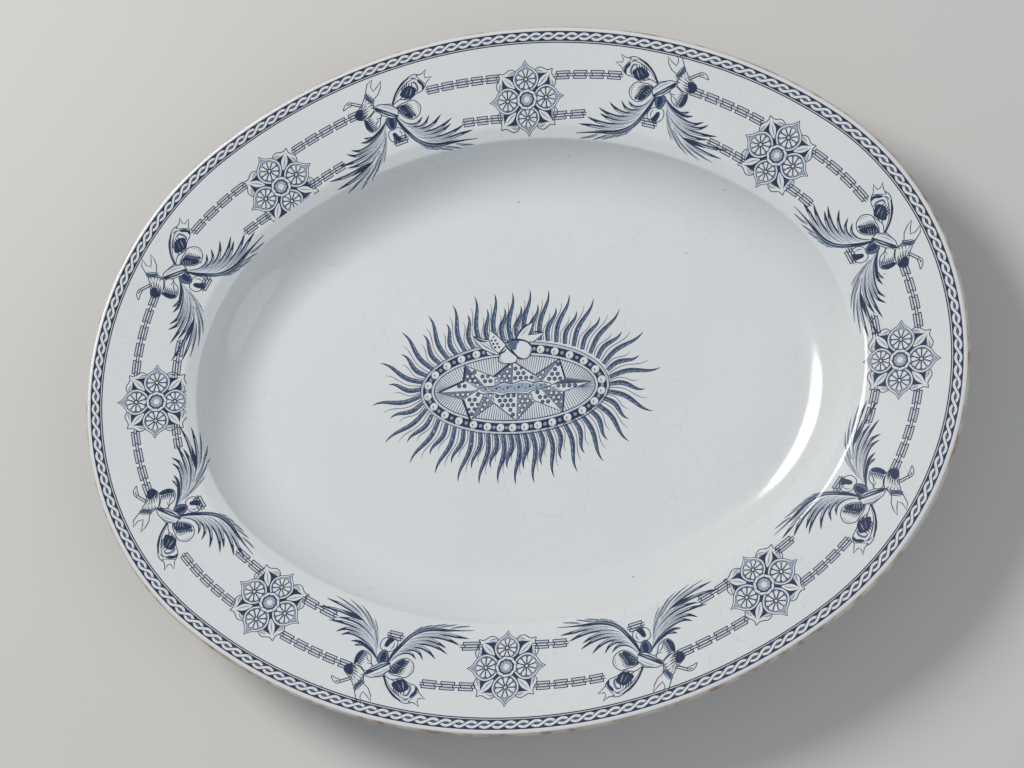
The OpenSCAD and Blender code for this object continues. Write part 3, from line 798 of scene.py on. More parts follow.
def spray_drawing():
    d = Drawing()

    def k(*points):
        return [(3.3 - x, y) for x, y in points]

    # plain plume: fine barbs below, then the long strands from the tail up
    for line in (((-2.4, -8.6), (-4, -12.6), (-6, -16.6), (-8.6, -20.4)),
                 ((-3.2, -10.8), (-6, -15.4), (-8.8, -19), (-13, -22.8)),
                 ((-4.6, -13), (-8.6, -18), (-12.4, -21.6), (-17.6, -24.8)),
                 ((-8, -16), (-13, -20.6), (-18, -23.4), (-24, -25.8)),
                 ((-12, -18), (-18, -21.8), (-24, -23.8), (-30.4, -25.4))):
        fine_barb(d, k(*line))
    barb(d, k((-8, -15), (-16, -19.6), (-25, -22), (-34, -23)), 0.75, 1)
    barb(d, k((-9, -15), (-18, -18.4), (-27, -19.4), (-36, -18.6)), 0.8, 1)
    d.stroke(smooth(k((-13, -18), (-18, -19), (-25, -20)), 6), [0.2, 1.5, 1.4, 0.3], DARK)
    for wide, *line in (
            (0.95, (-1.6, -6.5), (-6.6, -12.6), (-13.4, -16.2), (-19.6, -17), (-25.6, -16.2)),
            (1.0, (-1.2, -5.6), (-6.8, -11), (-14, -14.2), (-21.4, -14.8), (-29, -13.9)),
            (0.95, (-0.8, -4.6), (-6, -9.6), (-13, -12.4), (-19.4, -12.6), (-23.6, -9.9)),
            (0.9, (-0.2, -3.8), (-5, -8), (-11, -10.6), (-16.8, -11.2), (-21, -9.1))):
        barb(d, k(*line), wide, 1)
    for line in (((-1.6, -6), (-6, -11.8), (-12, -15.4)), ((-2.2, -7.8), (-6, -13), (-11, -16.6)),
                 ((-1, -5), (-5, -9.6), (-11, -13))):
        hair(d, k(*line), 0.26, PALE)
    barb(d, k((-8, -7.6), (-10.6, -7.6), (-13.1, -6.4)), 0.55, 1)
    barb(d, k((0.6, -2.8), (-4, -6), (-8.4, -8), (-12, -8.7), (-15.4, -7.8)), 0.8, 1)
    hair(d, k((0.4, -3.0), (-4, -6.2), (-8.2, -8.1), (-12, -8.8)), [0.3, 0.8, 1.1, 0.4], DARK)

    # curled side's plume
    for line in (((10, -17.6), (11.6, -20.8), (13.4, -23.4)),
                 ((12.4, -20.6), (14.8, -23.4), (17.6, -25.4)),
                 ((16, -23), (19.6, -25.6), (23.6, -27.8)),
                 ((20, -24.4), (24, -26.8), (27.8, -28.9)),
                 ((26, -26), (30, -28.2), (33.8, -29.8))):
        fine_barb(d, k(*line))
    for wide, *line in (
            (0.9, (9, -15), (15, -20.4), (24, -23), (30, -23.6), (36, -24.2)),
            (1.0, (8, -12.6), (13, -18), (20.4, -20.8), (27, -21.2), (33, -20.2)),
            (0.95, (7, -10), (11.6, -15.6), (18, -18.4), (23, -18.4), (27.6, -17.2)),
            (0.95, (6.4, -8), (10.2, -13.4), (16.6, -16.4), (23, -16.6), (29, -14.9)),
            (0.95, (6, -6.6), (9.4, -11.4), (14.6, -14.2), (20, -13.8), (24.8, -11.2)),
            (0.8, (5.8, -5.6), (8.6, -10), (12.4, -12.3), (16.4, -12), (19.5, -9.2)),
            (0.7, (5.6, -4.6), (8, -8.4), (11, -10.3), (13.8, -10.2), (16.4, -8.5))):
        barb(d, k(*line), wide, -1)
    for line in (((5.6, -7), (9, -13), (14, -17)), ((5.8, -5.6), (8.6, -10.6), (13.4, -14.8)),
                 ((6.4, -10), (10, -15.6), (15, -19.2))):
        hair(d, k(*line), 0.26, PALE)
    curled = smooth(k((4.6, -4), (5.6, -8), (7.6, -13), (10, -17.6), (13.4, -21.2), (18.6, -23.8),
                      (25, -25.2), (30, -26.4), (36.4, -28.4)), 6)
    d.stroke(curled, [1.0, 2.4, 2.6, 2.0, 1.4, 0.2], BARE)
    d.stroke(curled, [0.9, 1.5, 1.5, 1.0, 0.8, 0.2], DARK)
    d.stroke(offset(curled[4:34], 0.75), [0.1, 0.4, 0.5, 0.1], MID)
    d.stroke(offset(curled[18:40], -0.7), [0.1, 0.5, 0.6, 0.1], DARK)
    d.stroke(curled[12:34], [0.1, 0.35, 0.3, 0.1], PALE)

    # bulb hanging from the knot
    form(d, k((-0.8, -8.5), (-1.9, -11.6), (-0.4, -14), (2.6, -14.9), (5.4, -13.6), (5.6, -10.6),
              (3.6, -8.4)), BARE, 0.34)
    form(d, k((0.2, -10.2), (1.6, -10), (2.6, -12), (3.6, -14), (1.6, -14.6), (0.3, -12.8)), DARK)
    hair(d, k((3.4, -9.4), (4.3, -11), (4, -13.2)), 0.5, MID)
    form(d, k((0, -2.5), (-0.6, -6), (1.3, -8.6), (3.8, -6.6), (4, -3)), MID, 0.34)
    form(d, k((1.2, -3), (0.6, -6), (1.6, -7.8), (3.0, -6.4), (3, -3)), DARK)

    # ribbon with a forked end, standing up from the knot
    d.fill(k((-3.6, 4.4), (-2.2, 8.4), (0.8, 9.8), (3.0, 12.2), (4.4, 15.1), (1.6, 13.2),
             (-0.9, 12.0), (-1.2, 14.4), (0.6, 17.4), (-2.4, 16.2), (-3.9, 13.8), (-5.4, 11.4),
             (-6.6, 9.6)), BARE, line=0.36)
    d.fill(k((-5.8, 11.9), (-4.2, 12.9), (-3.4, 9.6), (-2.2, 7.6), (-3.0, 6.4), (-5.2, 9.4)), MID)
    for x in (-4.6, -3.8, -3.0):
        hair(d, k((x - 0.6, 12.2), (x + 0.3, 9.4), (x + 1.4, 7.2)), 0.5, DARK)

    # leaf on a stalk
    form(d, k((-11.8, 10.6), (-13.4, 11.9), (-15.6, 11.5), (-17.4, 9.5), (-15.2, 9.9),
              (-13.2, 10)), BARE, 0.34)
    hair(d, k((-13, 11), (-15, 11)), 0.6, DARK)
    hair(d, k((-8, 7.6), (-12.8, 11.0)), [1.5, 1.5], DARK)
    hair(d, k((-8.2, 7.8), (-12.6, 10.9)), [0.6, 0.6], BARE)

    # plain side: upper and lower loops
    form(d, k((-3.4, 4.2), (-7, 1.9), (-10.6, 1.6), (-13.2, 3.4), (-12.8, 5.5), (-9.8, 7.4),
              (-7.6, 9.0), (-6, 10.6), (-4.4, 8.2)), BARE, 0.36)
    form(d, k((-13, 3.8), (-12.4, 5.6), (-9.6, 6.8), (-8.6, 5.2), (-9.6, 3.2), (-11.4, 2)), DARK)
    shading(d, k((-9.2, 6.9), (-8.4, 5.2), (-9.4, 3.2), (-11, 2.1)),
            k((-7.2, 8.6), (-5.6, 6.2), (-6.6, 3.4), (-8.2, 2.2)), 7)
    shading(d, k((-4.7, 9.6), (-3.9, 7.2), (-3.7, 5.2)), k((-6.4, 9.2), (-5.8, 7), (-5.2, 5)), 4,
            MID)
    hair(d, k((-8.6, 5.6), (-7.0, 7.6), (-5.6, 9.4)), 0.4, PALE)
    form(d, k((-1.4, 0.6), (-3.6, 3.0), (-6.4, 1.6), (-9.6, 1.2), (-10.2, -2.4), (-8.8, -5.2),
              (-6.2, -5.4), (-3.6, -3.8), (-2.6, -1.6)), BARE, 0.36)
    form(d, k((-9.7, 0.9), (-10, -2.6), (-8.6, -5), (-7.2, -4.8), (-8, -2.2), (-8.4, 0.4)), DARK)
    form(d, k((-7.2, -4.8), (-8, -2.2), (-8.3, 0.6), (-7.2, 0.8), (-7, -2), (-6.2, -4.6)), PALE)
    shading(d, k((-8.2, 0.6), (-7.8, -2.2), (-7, -4.9)), k((-6, 0.9), (-5.4, -1.6), (-5, -4.2)), 7)
    hair(d, k((-6.4, -4.8), (-4.6, -2.2), (-2.8, -1.4)), 0.5, MID)
    hair(d, k((-4.4, -0.6), (-2.4, -0.8), (-1, -0.4)), [0.15, 0.4, 0.1], DARK)

    # curled side: the ribbon that turns over, and the loop below it
    form(d, k((5.4, 2.4), (8.6, 6.4), (13, 9.4), (17.8, 11.3), (21.4, 10.6), (22.6, 7.6),
              (23.6, 5.0), (21, 2.7), (17.2, 2.4), (13.6, 1.4), (9.2, 3.2)), BARE, 0.36)
    d.fill(k((20.6, 10.2), (23.4, 10), (26.2, 10.9), (24.5, 9.2), (24.3, 7.6), (27.4, 6.8),
             (25, 5.8), (23.3, 4.8), (22, 7.4)), BARE, line=0.36)
    form(d, k((10.2, 4.8), (12.6, 6.8), (15.6, 7.4), (18.4, 5), (17.2, 2.8), (13.8, 1.7)), DARK)
    hair(d, k((12.4, 3.6), (14, 5), (15.6, 6.4)), 0.7, MID)
    hair(d, k((14.4, 2.6), (15.6, 4.2), (16.6, 5.8)), 0.5, PALE)
    shading(d, k((11.8, 6.5), (14.4, 7.4), (17, 6.6)), k((13.4, 8.6), (15.6, 9.0), (17.4, 8.2)), 5)
    shading(d, k((11, 3.6), (13.8, 2.0), (16.4, 2.8)), k((9.6, 3.4), (12, 2.4), (14, 1.9)), 4)
    form(d, k((16.8, 8.2), (18.6, 7.2), (18.8, 4.6), (17.9, 3.2), (18.8, 3.2), (19.8, 5),
              (19.2, 8)), MID)
    form(d, k((20.6, 8.6), (22.2, 6.4), (22.6, 4.2), (21, 3), (21.4, 4.8), (20.4, 7)), DARK)
    hair(d, k((5.4, 2.6), (8.8, 6.7), (13.2, 9.6), (17.2, 10.9)), [1.0, 0.8, 1.1, 0.5], DARK)
    hair(d, k((7, 3.6), (9.6, 6.2), (13.4, 8.3), (17.4, 9.4), (20.2, 9.2)),
         [0.1, 0.3, 0.4, 0.3, 0.1], DARK)
    hair(d, k((17.5, 10.4), (19.4, 9.6), (20.2, 8.4)), [0.2, 0.8, 0.1], MID)
    form(d, k((5.8, -0.6), (8, 0.9), (12, 0.9), (15.4, 0.3), (17.4, -3.4), (15.6, -6.8),
              (12, -7.8), (9, -5.8), (7, -2.6)), BARE, 0.36)
    form(d, k((6.4, -0.4), (8, 0.5), (10.2, 0.2), (11.2, -2.2), (12.4, -6.6), (11, -7),
              (9.2, -5.4), (7.4, -2.6)), DARK)
    form(d, k((11.6, -2.4), (12.8, -6.8), (13.9, -6.6), (12.6, -3.4), (12, -0.8)), MID)
    hair(d, k((12, 0.4), (13.4, -1.2), (13.2, -3)), [0.2, 0.4, 0.1], PALE)
    shading(d, k((10.4, 0), (11.4, -2.6), (12.6, -6.6)), k((12.6, 0), (13.8, -2.8), (14.4, -6)), 8)
    shading(d, k((6.6, -1.4), (8, -4)), k((8.6, 0), (10.4, -3.4)), 4, PALE, (0.1, 0.3, 0.1))
    hair(d, k((15.6, -5.6), (16.4, -3.4), (15.6, -1)), 0.4, PALE)

    # the knot
    d.fill(k((-3.9, 4.9), (-0.4, 5.1), (4.8, 3.1), (6.9, -0.8), (5.6, -4.1), (2.2, -3.0),
             (-1.2, 0.2)), BARE, line=0.36)
    d.fill(k((-3.6, 4.6), (-2.2, 4.4), (2.2, 0.4), (6.3, -3.4), (5.0, -3.8), (1.4, -1.4),
             (-1.8, 1.8)), DARK)
    hair(d, k((-1, 2), (2, -0.6), (4.6, -3)), 0.7, PALE)
    hair(d, k((-0.6, 4.2), (2.6, 2.2), (5.8, -1)), 0.6, PALE)
    hair(d, k((1.2, 4.2), (4.4, 2.4), (6.2, -0.6)), 0.5, MID)
    return d


# ---------------------------------------------------------------- chain
CHAIN_PITCH = 7.9


def frame_line(d, x0, x1, y0, y1, wide=0.43):
    d.fill([(x0, y0), (x1, y0), (x1, y1), (x0, y1)], DARK)
    x0 += wide if x0 > -CHAIN_PITCH / 2 else 0
    x1 -= wide if x1 < CHAIN_PITCH / 2 else 0
    d.fill([(x0, y0 + wide), (x1, y0 + wide), (x1, y1 - wide), (x0, y1 - wide)], BARE)


def link_drawing():
    """One pair of long links and half of the small links that bridge to the next pairs."""
    d = Drawing()
    half = CHAIN_PITCH / 2
    for side in (-1, 1):
        y0, y1 = sorted((0.32 * side, 1.98 * side))
        frame_line(d, -3.15, 3.15, y0, y1)
        d.stroke([(-2.5, side * 0.98), (2.5, side * 0.98)], 0.34, PALE)
    for x0, x1 in ((-half, -half + 1.9), (half - 1.9, half)):
        frame_line(d, x0, x1, -0.72, 0.72)
    return d


# ---------------------------------------------------------------- rayed oval
OVAL = (44.6, 21.8)
OVAL_AT = np.array([-5.3, -0.6])
OVAL_TURN = 1.8
STAR_SCALE = 0.965
RAYS, LONG_RAY, SHORT_RAY = 56, 23.7, 16.5
PEARLS, PEARLS_IN = 30, 3.1
HATCHES = 156
evening = (OVAL[0] - OVAL[1]) / sum(OVAL) / 2


def even(w):
    return w + evening * np.sin(2 * w)


def around(w, d):
    return np.stack([(OVAL[0] + d) * np.cos(w), (OVAL[1] + d) * np.sin(w)], -1)


def away(w):
    n = np.stack([np.cos(w) / OVAL[0], np.sin(w) / OVAL[1]], -1)
    return n / np.linalg.norm(n, axis=-1, keepdims=True)


def spots(d, shape, gap, r, tone, ring):
    """Ringed dots in rows over a shape, clear of its edges."""
    p = np.asarray(shape, float)
    q = np.roll(p, -1, 0)
    run = q - p
    (x0, y0), (x1, y1) = p.min(0), p.max(0)
    for row in range(int((y1 - y0) / (gap * 0.87)) + 1):
        y = y0 + 0.5 + row * gap * 0.87
        for column in range(int((x1 - x0) / gap) + 1):
            here = np.array([x0 + (row % 2 + 2 * column) * gap / 2, y])
            share = np.clip(((here - p) * run).sum(1) / np.maximum((run**2).sum(1), 1e-9), 0, 1)
            clear = np.linalg.norm(p + run * share[:, None] - here, axis=1).min()
            size = min(r, clear - 0.15)
            if inside(p, here[None])[0] and size > 0.45 * r:
                if ring:
                    d.fill(ellipse(*here, size + 0.2, n=10), DARK)
                d.fill(ellipse(*here, size - 0.1, n=9), tone)


def rays_drawing():
    d = Drawing()
    t = np.linspace(0, 1, 16)
    for k in range(RAYS):
        w = float(even(2 * math.pi * (k + 0.5) / RAYS))
        out, foot = away(w), around(w, 0.2)
        across = np.array([-out[1], out[0]])
        reach = (LONG_RAY if k % 2 == 0 else SHORT_RAY) + 0.6 * math.sin(5.3 * k)
        wave = 1.45 * np.sin(2 * math.pi * 0.92 * t - 0.2) * (0.55 + 0.45 * t)
        line = foot + out * (t * reach)[:, None] + across * wave[:, None]
        wide = 2.05 * (1 - t**3) * (0.88 + 0.2 * np.sin(math.pi * t)) + 0.16
        d.stroke(line, wide, DARK)
        d.stroke(line[:-2], (wide[:-2] - 0.62).clip(0.1), MID)
        d.stroke((line + across * 0.25)[1:-3], [0.3, 0.5, 0.4, 0.1], DARK)
        for dot in range(1, 10, 2):
            d.stroke([(line - across * 0.75)[dot], (line - across * 0.1)[dot + 1]], 0.2, PALE)
        w2 = float(even(2 * math.pi * (k + 1.03) / RAYS))
        out2 = away(w2)
        side2 = np.array([-out2[1], out2[0]])
        thin = around(w2, 0.4) + out2 * (t * reach * 0.8)[:, None] + side2 * (wave * 0.9)[:, None]
        d.stroke(thin, [0.34, 0.26, 0.24, 0.3, 0.1], DARK)
    return d


BOW = {
    "lower_tail": [(-4.5, 20.6), (-8, 24.4), (-12.7, 28.2), (-13.3, 23), (-12, 19.8), (-8, 16.8)],
    "upper_tail": [(-20.3, 25.4), (-14.6, 23.6), (-13, 23.4), (-11, 19.4), (-6.8, 15.6),
                   (-11, 16.9), (-15.6, 19), (-18.4, 21.8)],
    "fork": [(0, 22.8), (1.2, 26), (4, 29), (7.8, 31), (7.2, 28), (5.8, 25), (9.5, 25.4),
             (13.2, 26), (11.4, 23.8), (8.4, 21.6), (6, 21.6)],
    "loop": smooth([(-4.8, 21.2), (-2.4, 23.2), (2.6, 23), (6.8, 20.8), (7.9, 17.6), (6.4, 14.4),
                    (3.4, 13.6), (1, 14.4), (-1.4, 17.4)], 4, True)}


def oval_drawing():
    d = Drawing()
    full = even(np.linspace(0, 2 * math.pi, 120, endpoint=False))
    for by, tone in ((0.35, DARK), (0.0, BARE), (-0.25, PALE), (-0.55, BARE), (-1.0, DARK),
                     (-5.15, PALE), (-5.45, BARE), (-6.15, MID), (-6.4, DARK), (-6.65, BARE)):
        d.fill(around(full, by), tone)
    for k in range(PEARLS):
        x, y = around(float(even(2 * math.pi * (k + 0.5) / PEARLS)), -PEARLS_IN)
        d.fill(ellipse(x, y, 1.85, n=18), BARE)
        d.fill(ellipse(x - 0.35, y - 0.1, 0.28, 0.5, 20, 8), DARK)
        d.stroke([(x - 1.1, y - 0.7), (x - 0.3, y - 1.25), (x + 0.6, y - 1.15)],
                 [0.1, 0.3, 0.1], PALE)
        x, y = around(float(even(2 * math.pi * k / PEARLS)), -PEARLS_IN)
        d.fill(ellipse(x, y, 0.78, n=10), PALE)
        d.stroke([(x - 0.5, y), (x + 0.5, y)], 0.3, MID)
    for k in range(HATCHES):
        w = float(even(2 * math.pi * k / HATCHES))
        foot, out = around(w, -6.6), away(w)
        d.stroke([foot, foot - out * 12.5], [0.34, 0.1], MID)

    tips = [(-36.6, -1.0), (-23.9, 11.6), (-1.0, 13.0), (21.4, 13.2), (36.8, 1.6), (24.0, -12.4),
            (1.8, -15.9), (-20.5, -14.9)]
    dips = [(-24.5, 4.2), (-10, 5.8), (10, 5.8), (24.6, 3.7), (24.4, -2.6), (10.5, -6.6),
            (-9.5, -7.0), (-24.5, -5.0)]
    hubs = [(-17.5, -0.6), (-14.4, 1.0), (-1.0, 2.0), (13, 2.3), (17.6, 1.0), (13.2, -0.9),
            (1.8, -2.4), (-14.6, -2.2)]
    ends = {0: (-17.5, -0.6), 1: (-10, 1.1), 2: (8.8, 2.2), 3: (17.6, 1.0), 4: (17.6, 1.0),
            5: (8.8, -1.8), 6: (-9.5, -2.3), 7: (-17.5, -0.6)}
    tips, dips, hubs = (np.array(p) * STAR_SCALE for p in (tips, dips, hubs))
    ends = {k: np.array(p) * STAR_SCALE for k, p in ends.items()}
    star = [p for pair in zip(tips, dips) for p in pair]
    grown = np.array(star)
    mid = grown.mean(0)
    d.fill(mid + (grown - mid) * 1.035 + [-0.25, 0.25], DARK)
    d.fill(star, BARE)
    for k, tip in enumerate(tips):
        before, after = dips[k - 1], dips[k]
        left = [tip, before, ends[(k - 1) % 8], hubs[k]]
        right = [tip, hubs[k], ends[k], after]
        shrunk = [np.array(tip) + (np.array(p) - tip) * 0.97 for p in left]
        d.fill(shrunk, PALE)
        for share in np.linspace(0.12, 0.95, 14):
            a = np.array(tip) + (np.array(before) - tip) * share
            b = np.array(tip) + (np.array(hubs[k]) - tip) * share
            d.stroke([a, b], 0.34, DARK)
        spots(d, left, 2.45, 0.82, BARE, True)
        spots(d, right, 2.6, 0.8, MID, True)
        d.stroke([tip, hubs[k]], [0.2, 0.5], BARE)
        d.stroke([tip, before], [0.2, 0.55], BARE)
        d.stroke([tip, hubs[k]], [0.12, 0.22], DARK)
        d.stroke([before, tip, after], 0.34, DARK)
    strip_line = smooth([(-17.8, -0.6), (-14, 1.0), (-9.2, 1.3), (-5.5, 2.7), (-1, 2.1),
                         (3, 3.2), (6.6, 3.1), (9, 2.2), (13, 2.6), (17.8, 1.0), (13, -0.8),
                         (8.6, -1.7), (6.5, -2.9), (2, -2.5), (-3, -2.5), (-6, -3.4),
                         (-10, -2.2), (-14.8, -2.3)], 3, True)
    d.fill(strip_line, BARE, line=0.4)
    centre = strip_line.mean(0)
    d.fill(centre + (strip_line - centre) * [0.9, 0.66], PALE, line=0.2, line_tone=MID)
    for k in range(17):
        x = -13.5 + 1.75 * k
        y = 0.35 + 0.03 * x + 0.65 * math.sin(2.1 * k)
        d.fill(ellipse(x, y, 0.62, n=9), DARK)
        d.fill(ellipse(x + 0.1, y + 0.1, 0.36, n=8), BARE if k % 3 else MID)

    # the bow tied over the frame
    for tail in ("lower_tail", "upper_tail"):
        d.fill(BOW[tail], BARE, line=0.42)
    hair(d, [(-20.2, 25.2), (-17, 23.2), (-13.4, 22.6)], [0.3, 1.1, 0.2], DARK)
    spots(d, [(-5.5, 20.2), (-8.4, 23.4), (-12.0, 26.2), (-12.6, 22.8), (-11.6, 20.2), (-8, 17.6)],
          1.9, 0.36, MID, True)
    hair(d, [(-17.5, 22.6), (-14, 20), (-9.6, 17.4)], 0.6, MID)
    hair(d, [(-15.5, 22.6), (-13, 20.8), (-10.4, 18.6)], 0.5, PALE)
    d.fill(BOW["fork"], BARE, line=0.42)
    hair(d, [(0.2, 23.6), (1.8, 26.8), (4.4, 29.4), (7.8, 31)], [0.2, 0.9, 0.8, 0.3], DARK)
    hair(d, [(7.4, 26.4), (10, 26.4), (13, 26)], [0.2, 0.8, 0.2], DARK)
    hair(d, [(2.4, 24.6), (4, 26.6), (5.6, 28.4)], 0.5, PALE)
    d.fill(BOW["loop"], BARE, line=0.44)
    form(d, [(-4.2, 21.6), (-2, 22.7), (1.6, 22.4), (0.6, 20.6), (0.2, 18.4), (-1.4, 18.4)], MID)
    hair(d, [(-4.6, 21.6), (0, 23), (5, 22), (7.6, 19.2)], [0.3, 1.0, 0.7, 0.3], DARK)
    hair(d, [(7, 19), (7.2, 16.8), (5.8, 14.8)], [0.1, 0.6, 0.2], PALE)
    form(d, [(-4.6, 20.2), (-6.9, 17), (-8, 13.6), (-5.6, 11.9), (-2.4, 11.7), (0.4, 12.4),
             (0.9, 14.6), (-0.9, 17.2), (-2.6, 19.4)], BARE, 0.44)
    hair(d, [(-4.6, 20), (-1.8, 17.4), (1.4, 14.6), (3.8, 13.8)], [0.6, 1.1, 0.6, 0.2], DARK)
    hair(d, [(-6.6, 16.4), (-7.2, 14.2), (-5.4, 12.4)], 0.6, PALE)
    hair(d, [(-9, 15.8), (-5.6, 17.4), (-4, 19.2)], [0.2, 0.8, 0.2], DARK)
    return d


# ---------------------------------------------------------------- laying the prints
# where each motif was laid by hand: direction, distance inside the lip and turn; two of the
# rosettes were trimmed along the verge
ROSETTES = [(-0.8, 30.3, -1.5), (55.8, 32, -3), (89.3, 33.7, 3), (123.5, 34.4, 4),
            (184, 33.1, -1.5), (239.4, 31.2, -3), (270.8, 30.9, 1.5), (302.9, 31.2, 4)]
TRIMMED = {3: 46.0, 4: 46.6}
SPRAYS = [(26.6, 25.5, -3), (72.6, 24, -1.5), (106.8, 26.4, 5), (152, 25.9, 1.5),
          (212.6, 27, -7), (256, 23.6, -3), (287.2, 23.4, 3), (328.2, 26, 1.5)]
PRINT_EDGE = 50.7            # the rounded brow that the prints bend over ends here
# a print that crosses another lies a little above it
ROSETTE_LIFT, SPRAY_LIFT, OVAL_LIFT = 0.012, 0.02, 0.02
ROSETTE_REACH, SPRAY_REACH = 20, 42        # half their widths, with room


def flat_on(angle, in_at, turn=0.0):
    """Places a drawing flat on the rim: x clockwise, y outwards; and its inverse."""
    p = on_rim(angle, in_at)
    a = math.radians(angle + turn)
    x_way = np.array([math.sin(a), -math.cos(a)])
    y_way = np.array([math.cos(a), math.sin(a)])
    return (lambda q: p + q[:, :1] * x_way + q[:, 1:] * y_way,
            lambda q: np.stack([(q - p) @ x_way, (q - p) @ y_way], -1))


def crease_guides(angle, back, reach, trim=None):
    """Lines along the rounded brow, in the drawing's own plane, for its triangles to follow."""
    guides = []
    for u in [*FACE[(FACE[:, 0] > 44) & (FACE[:, 0] < PRINT_EDGE), 0], trim or PRINT_EDGE]:
        ways = angle + np.linspace(-26, 26, 53)
        line = back(on_rim(ways, u))
        guides.append(line[np.abs(line[:, 0]) < reach])
    return guides


rosette_one, spray_one = rosette_drawing(), spray_drawing()
spray_other = Drawing()
spray_other.join(spray_one, flip=True)
for i, (angle, in_at, turn) in enumerate(ROSETTES):
    place, back = flat_on(angle, in_at, turn)
    trim = TRIMMED.get(i)
    cut = rosette_one.print(guides=crease_guides(angle, back, ROSETTE_REACH, trim))
    o = print_piece(f"rosette_print_{i + 1}", [film_solid(cut, place, ROSETTE_LIFT, trim)], inks)
    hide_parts(f"rosette_{i + 1}")

for i, (angle, in_at, turn) in enumerate(SPRAYS):
    place, back = flat_on(angle, in_at, turn)
    drawn = spray_one if (i // 2) % 2 == 0 else spray_other
    cut = drawn.print(guides=crease_guides(angle, back, SPRAY_REACH))
    o = print_piece(f"spray_print_{i + 1}", [film_solid(cut, place, SPRAY_LIFT)], inks)
    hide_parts(f"spray_{i + 1}")

link = link_drawing().print(cell=4.0)


def chain(name, node, in_at, ends, slips, between=()):
    """Whole links between two ends, arc lengths along the line in_at inside the lip, each with
    its slip: how much further in the chain was laid there."""
    (start, first), (stop, last) = sorted(zip(ends, slips))
    count = max(1, round((stop - start) / CHAIN_PITCH))
    grow = (stop - start) / count / CHAIN_PITCH

    def place(mid, grow):
        def on_strip(p):
            along = mid - p[:, 0] * grow
            slip = np.interp(along, [start, stop], [first, last])
            return on_rim(way_at(along, in_at), in_at + slip - p[:, 1])
        return on_strip

    places = [place(start + (k + 0.5) * CHAIN_PITCH * grow, grow) for k in range(count)]
    places += [place(mid, 1.0) for mid in between]
    o = print_piece(name, [film_solid(link, on_strip) for on_strip in places], inks)
    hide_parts(node)


OUTER_IN, INNER_IN = 21.5, 40.2
OUTER_HALF = {"rosette": 13.2, "plain": 13.2, "curled": 18.8}
INNER_HALF = {"rosette": 11.4, "plain": 28.0, "curled": 31.0}
BETWEEN_PLUMES = -0.8        # from the knot towards the plain side
EVEN_ROSETTE, EVEN_SPRAY = 30.6, 25.0
SHORTEST = 2                 # a chain with less room than this keeps this much
SLIP_SHARE = 0.5             # how far a chain follows the slip of the motif that it meets
for i in range(8):
    for j, (rose, sign) in enumerate(((i, 1), ((i + 1) % 8, -1))):
        at_rose = ROSETTES[rose][0] + (360 if i == 7 and j == 1 else 0)
        at_spray = SPRAYS[i][0]
        slips = [SLIP_SHARE * (ROSETTES[rose][1] - EVEN_ROSETTE),
                 SLIP_SHARE * (SPRAYS[i][1] - EVEN_SPRAY)]
        side = "plain" if (j == 0) == ((i // 2) % 2 == 0) else "curled"
        for label, in_at, half in (("outer", OUTER_IN, OUTER_HALF),
                                   ("inner", INNER_IN, INNER_HALF)):
            a = float(length_at(at_rose, in_at)) + sign * half["rosette"]
            b = float(length_at(at_spray, in_at)) - sign * half[side]
            if (b - a) * sign < SHORTEST:
                b = a + SHORTEST * sign
            # one link of the inner chain shows between the plumes
            middle = float(length_at(at_spray, in_at)) - sign * BETWEEN_PLUMES
            shown = [middle] if label == "inner" and side == "plain" else []
            chain(f"chain_{label}_print_{2 * i + j + 1}", f"chain_{label}_{2 * i + j + 1}",
                  in_at, (a, b), slips, shown)

rays = Drawing()
rays.join(rays_drawing(), turn=OVAL_TURN, at=(0, 0.6))
for outline in BOW.values():
    rays.fill(outline, BARE)
for name, drawn, lift in (("oval_rays_print", rays, 0.0),
                          ("oval_print", oval_drawing(), OVAL_LIFT)):
    o = print_piece(name, [film_solid(drawn.print(cell=12), lambda p: p + OVAL_AT, lift)], inks)
    if drawn is rays:
        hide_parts("oval_rays")
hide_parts("oval_frame", "oval_field", "oval_star", "oval_bow")

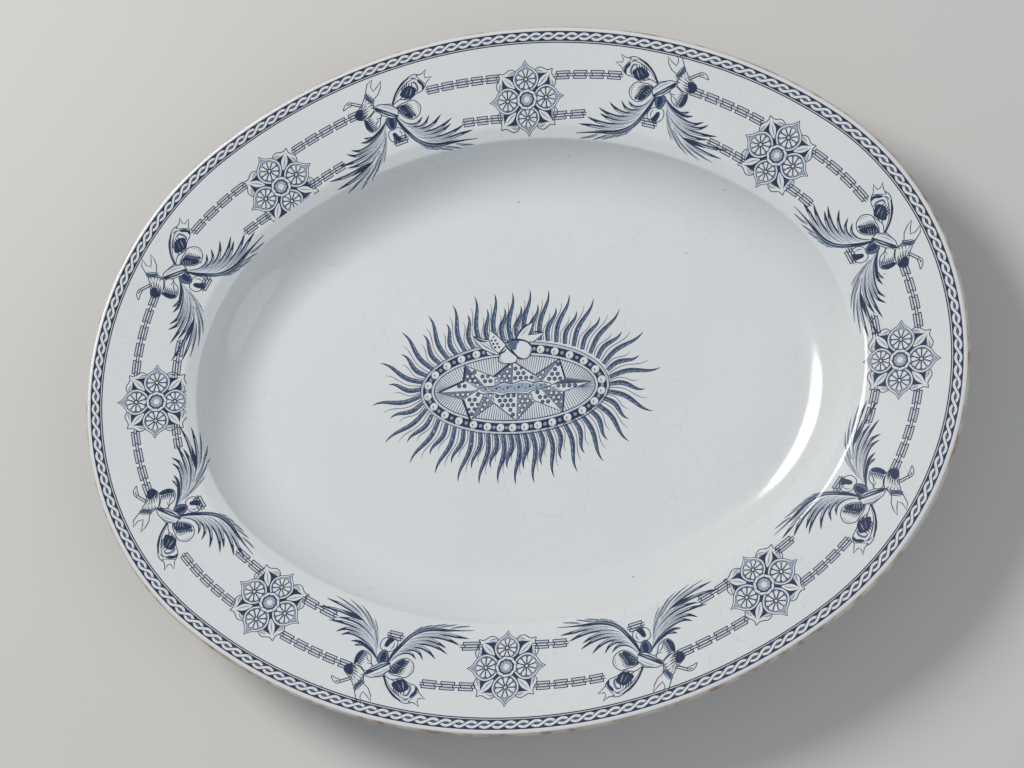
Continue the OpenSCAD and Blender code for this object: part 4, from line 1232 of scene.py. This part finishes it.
# ---------------------------------------------------------------- stage
table_paint = Paint("pale_table", Roughness=0.75)
table_tone = table_paint.noise(300, 2)
table_paint.use(Base_Color=table_paint.mix(table_tone, (0.60, 0.59, 0.57, 1),
                                           (0.66, 0.65, 0.63, 1)))
bpy.ops.mesh.primitive_plane_add(size=8)
table = bpy.context.object
table.name = "table"
table.data.materials.append(table_paint.material)


def lamp(name, at, to, size, power, colour):
    light = bpy.data.lights.new(name, "AREA")
    light.shape, light.size, light.energy, light.color = "DISK", size, power, colour
    o = bpy.data.objects.new(name, light)
    o.location = at
    o.rotation_euler = (Vector(to) - Vector(at)).to_track_quat("-Z", "Y").to_euler()
    bpy.context.scene.collection.objects.link(o)


lamp("window", (-1.3, 0.9, 1.5), (0, 0, 0), 0.9, 31, (1.0, 0.975, 0.94))
lamp("fill", (1.4, -0.6, 1.2), (0, 0, 0), 1.4, 7, (0.92, 0.96, 1.0))
world = bpy.data.worlds.new("soft_room")
bpy.context.scene.world = world
world.use_nodes = True
world.node_tree.nodes["Background"].inputs[0].default_value = (0.84, 0.87, 0.92, 1)
world.node_tree.nodes["Background"].inputs[1].default_value = 0.38

# ---------------------------------------------------------------- camera
SENSOR = 36                  # mm wide
LEAN, LEAN_WAY = math.radians(22), math.radians(-45)
AWAY = 1195 * MM
SHIFT = (-8.58 * MM, 3.56 * MM)
LENS = 91.4                  # mm
back = Vector((math.sin(LEAN) * math.cos(LEAN_WAY), math.sin(LEAN) * math.sin(LEAN_WAY),
               math.cos(LEAN)))
hinge = Vector((-math.sin(LEAN_WAY), math.cos(LEAN_WAY), 0))


def leant(v):
    v = Vector(v)
    return (v * math.cos(LEAN) + hinge.cross(v) * math.sin(LEAN)
            + hinge * hinge.dot(v) * (1 - math.cos(LEAN)))


right, up = leant((1, 0, 0)), leant((0, 1, 0))
camera_data = bpy.data.cameras.new("camera")
camera_data.sensor_width, camera_data.lens = SENSOR, LENS
camera = bpy.data.objects.new("camera", camera_data)
bpy.context.scene.collection.objects.link(camera)
place = back * AWAY + right * SHIFT[0] + up * SHIFT[1]
matrix = camera.matrix_world.to_4x4()
for row in range(3):
    matrix[row][0], matrix[row][1], matrix[row][2] = right[row], up[row], back[row]
    matrix[row][3] = place[row]
camera.matrix_world = matrix
bpy.context.scene.camera = camera
bpy.context.scene.view_settings.view_transform = "Standard"
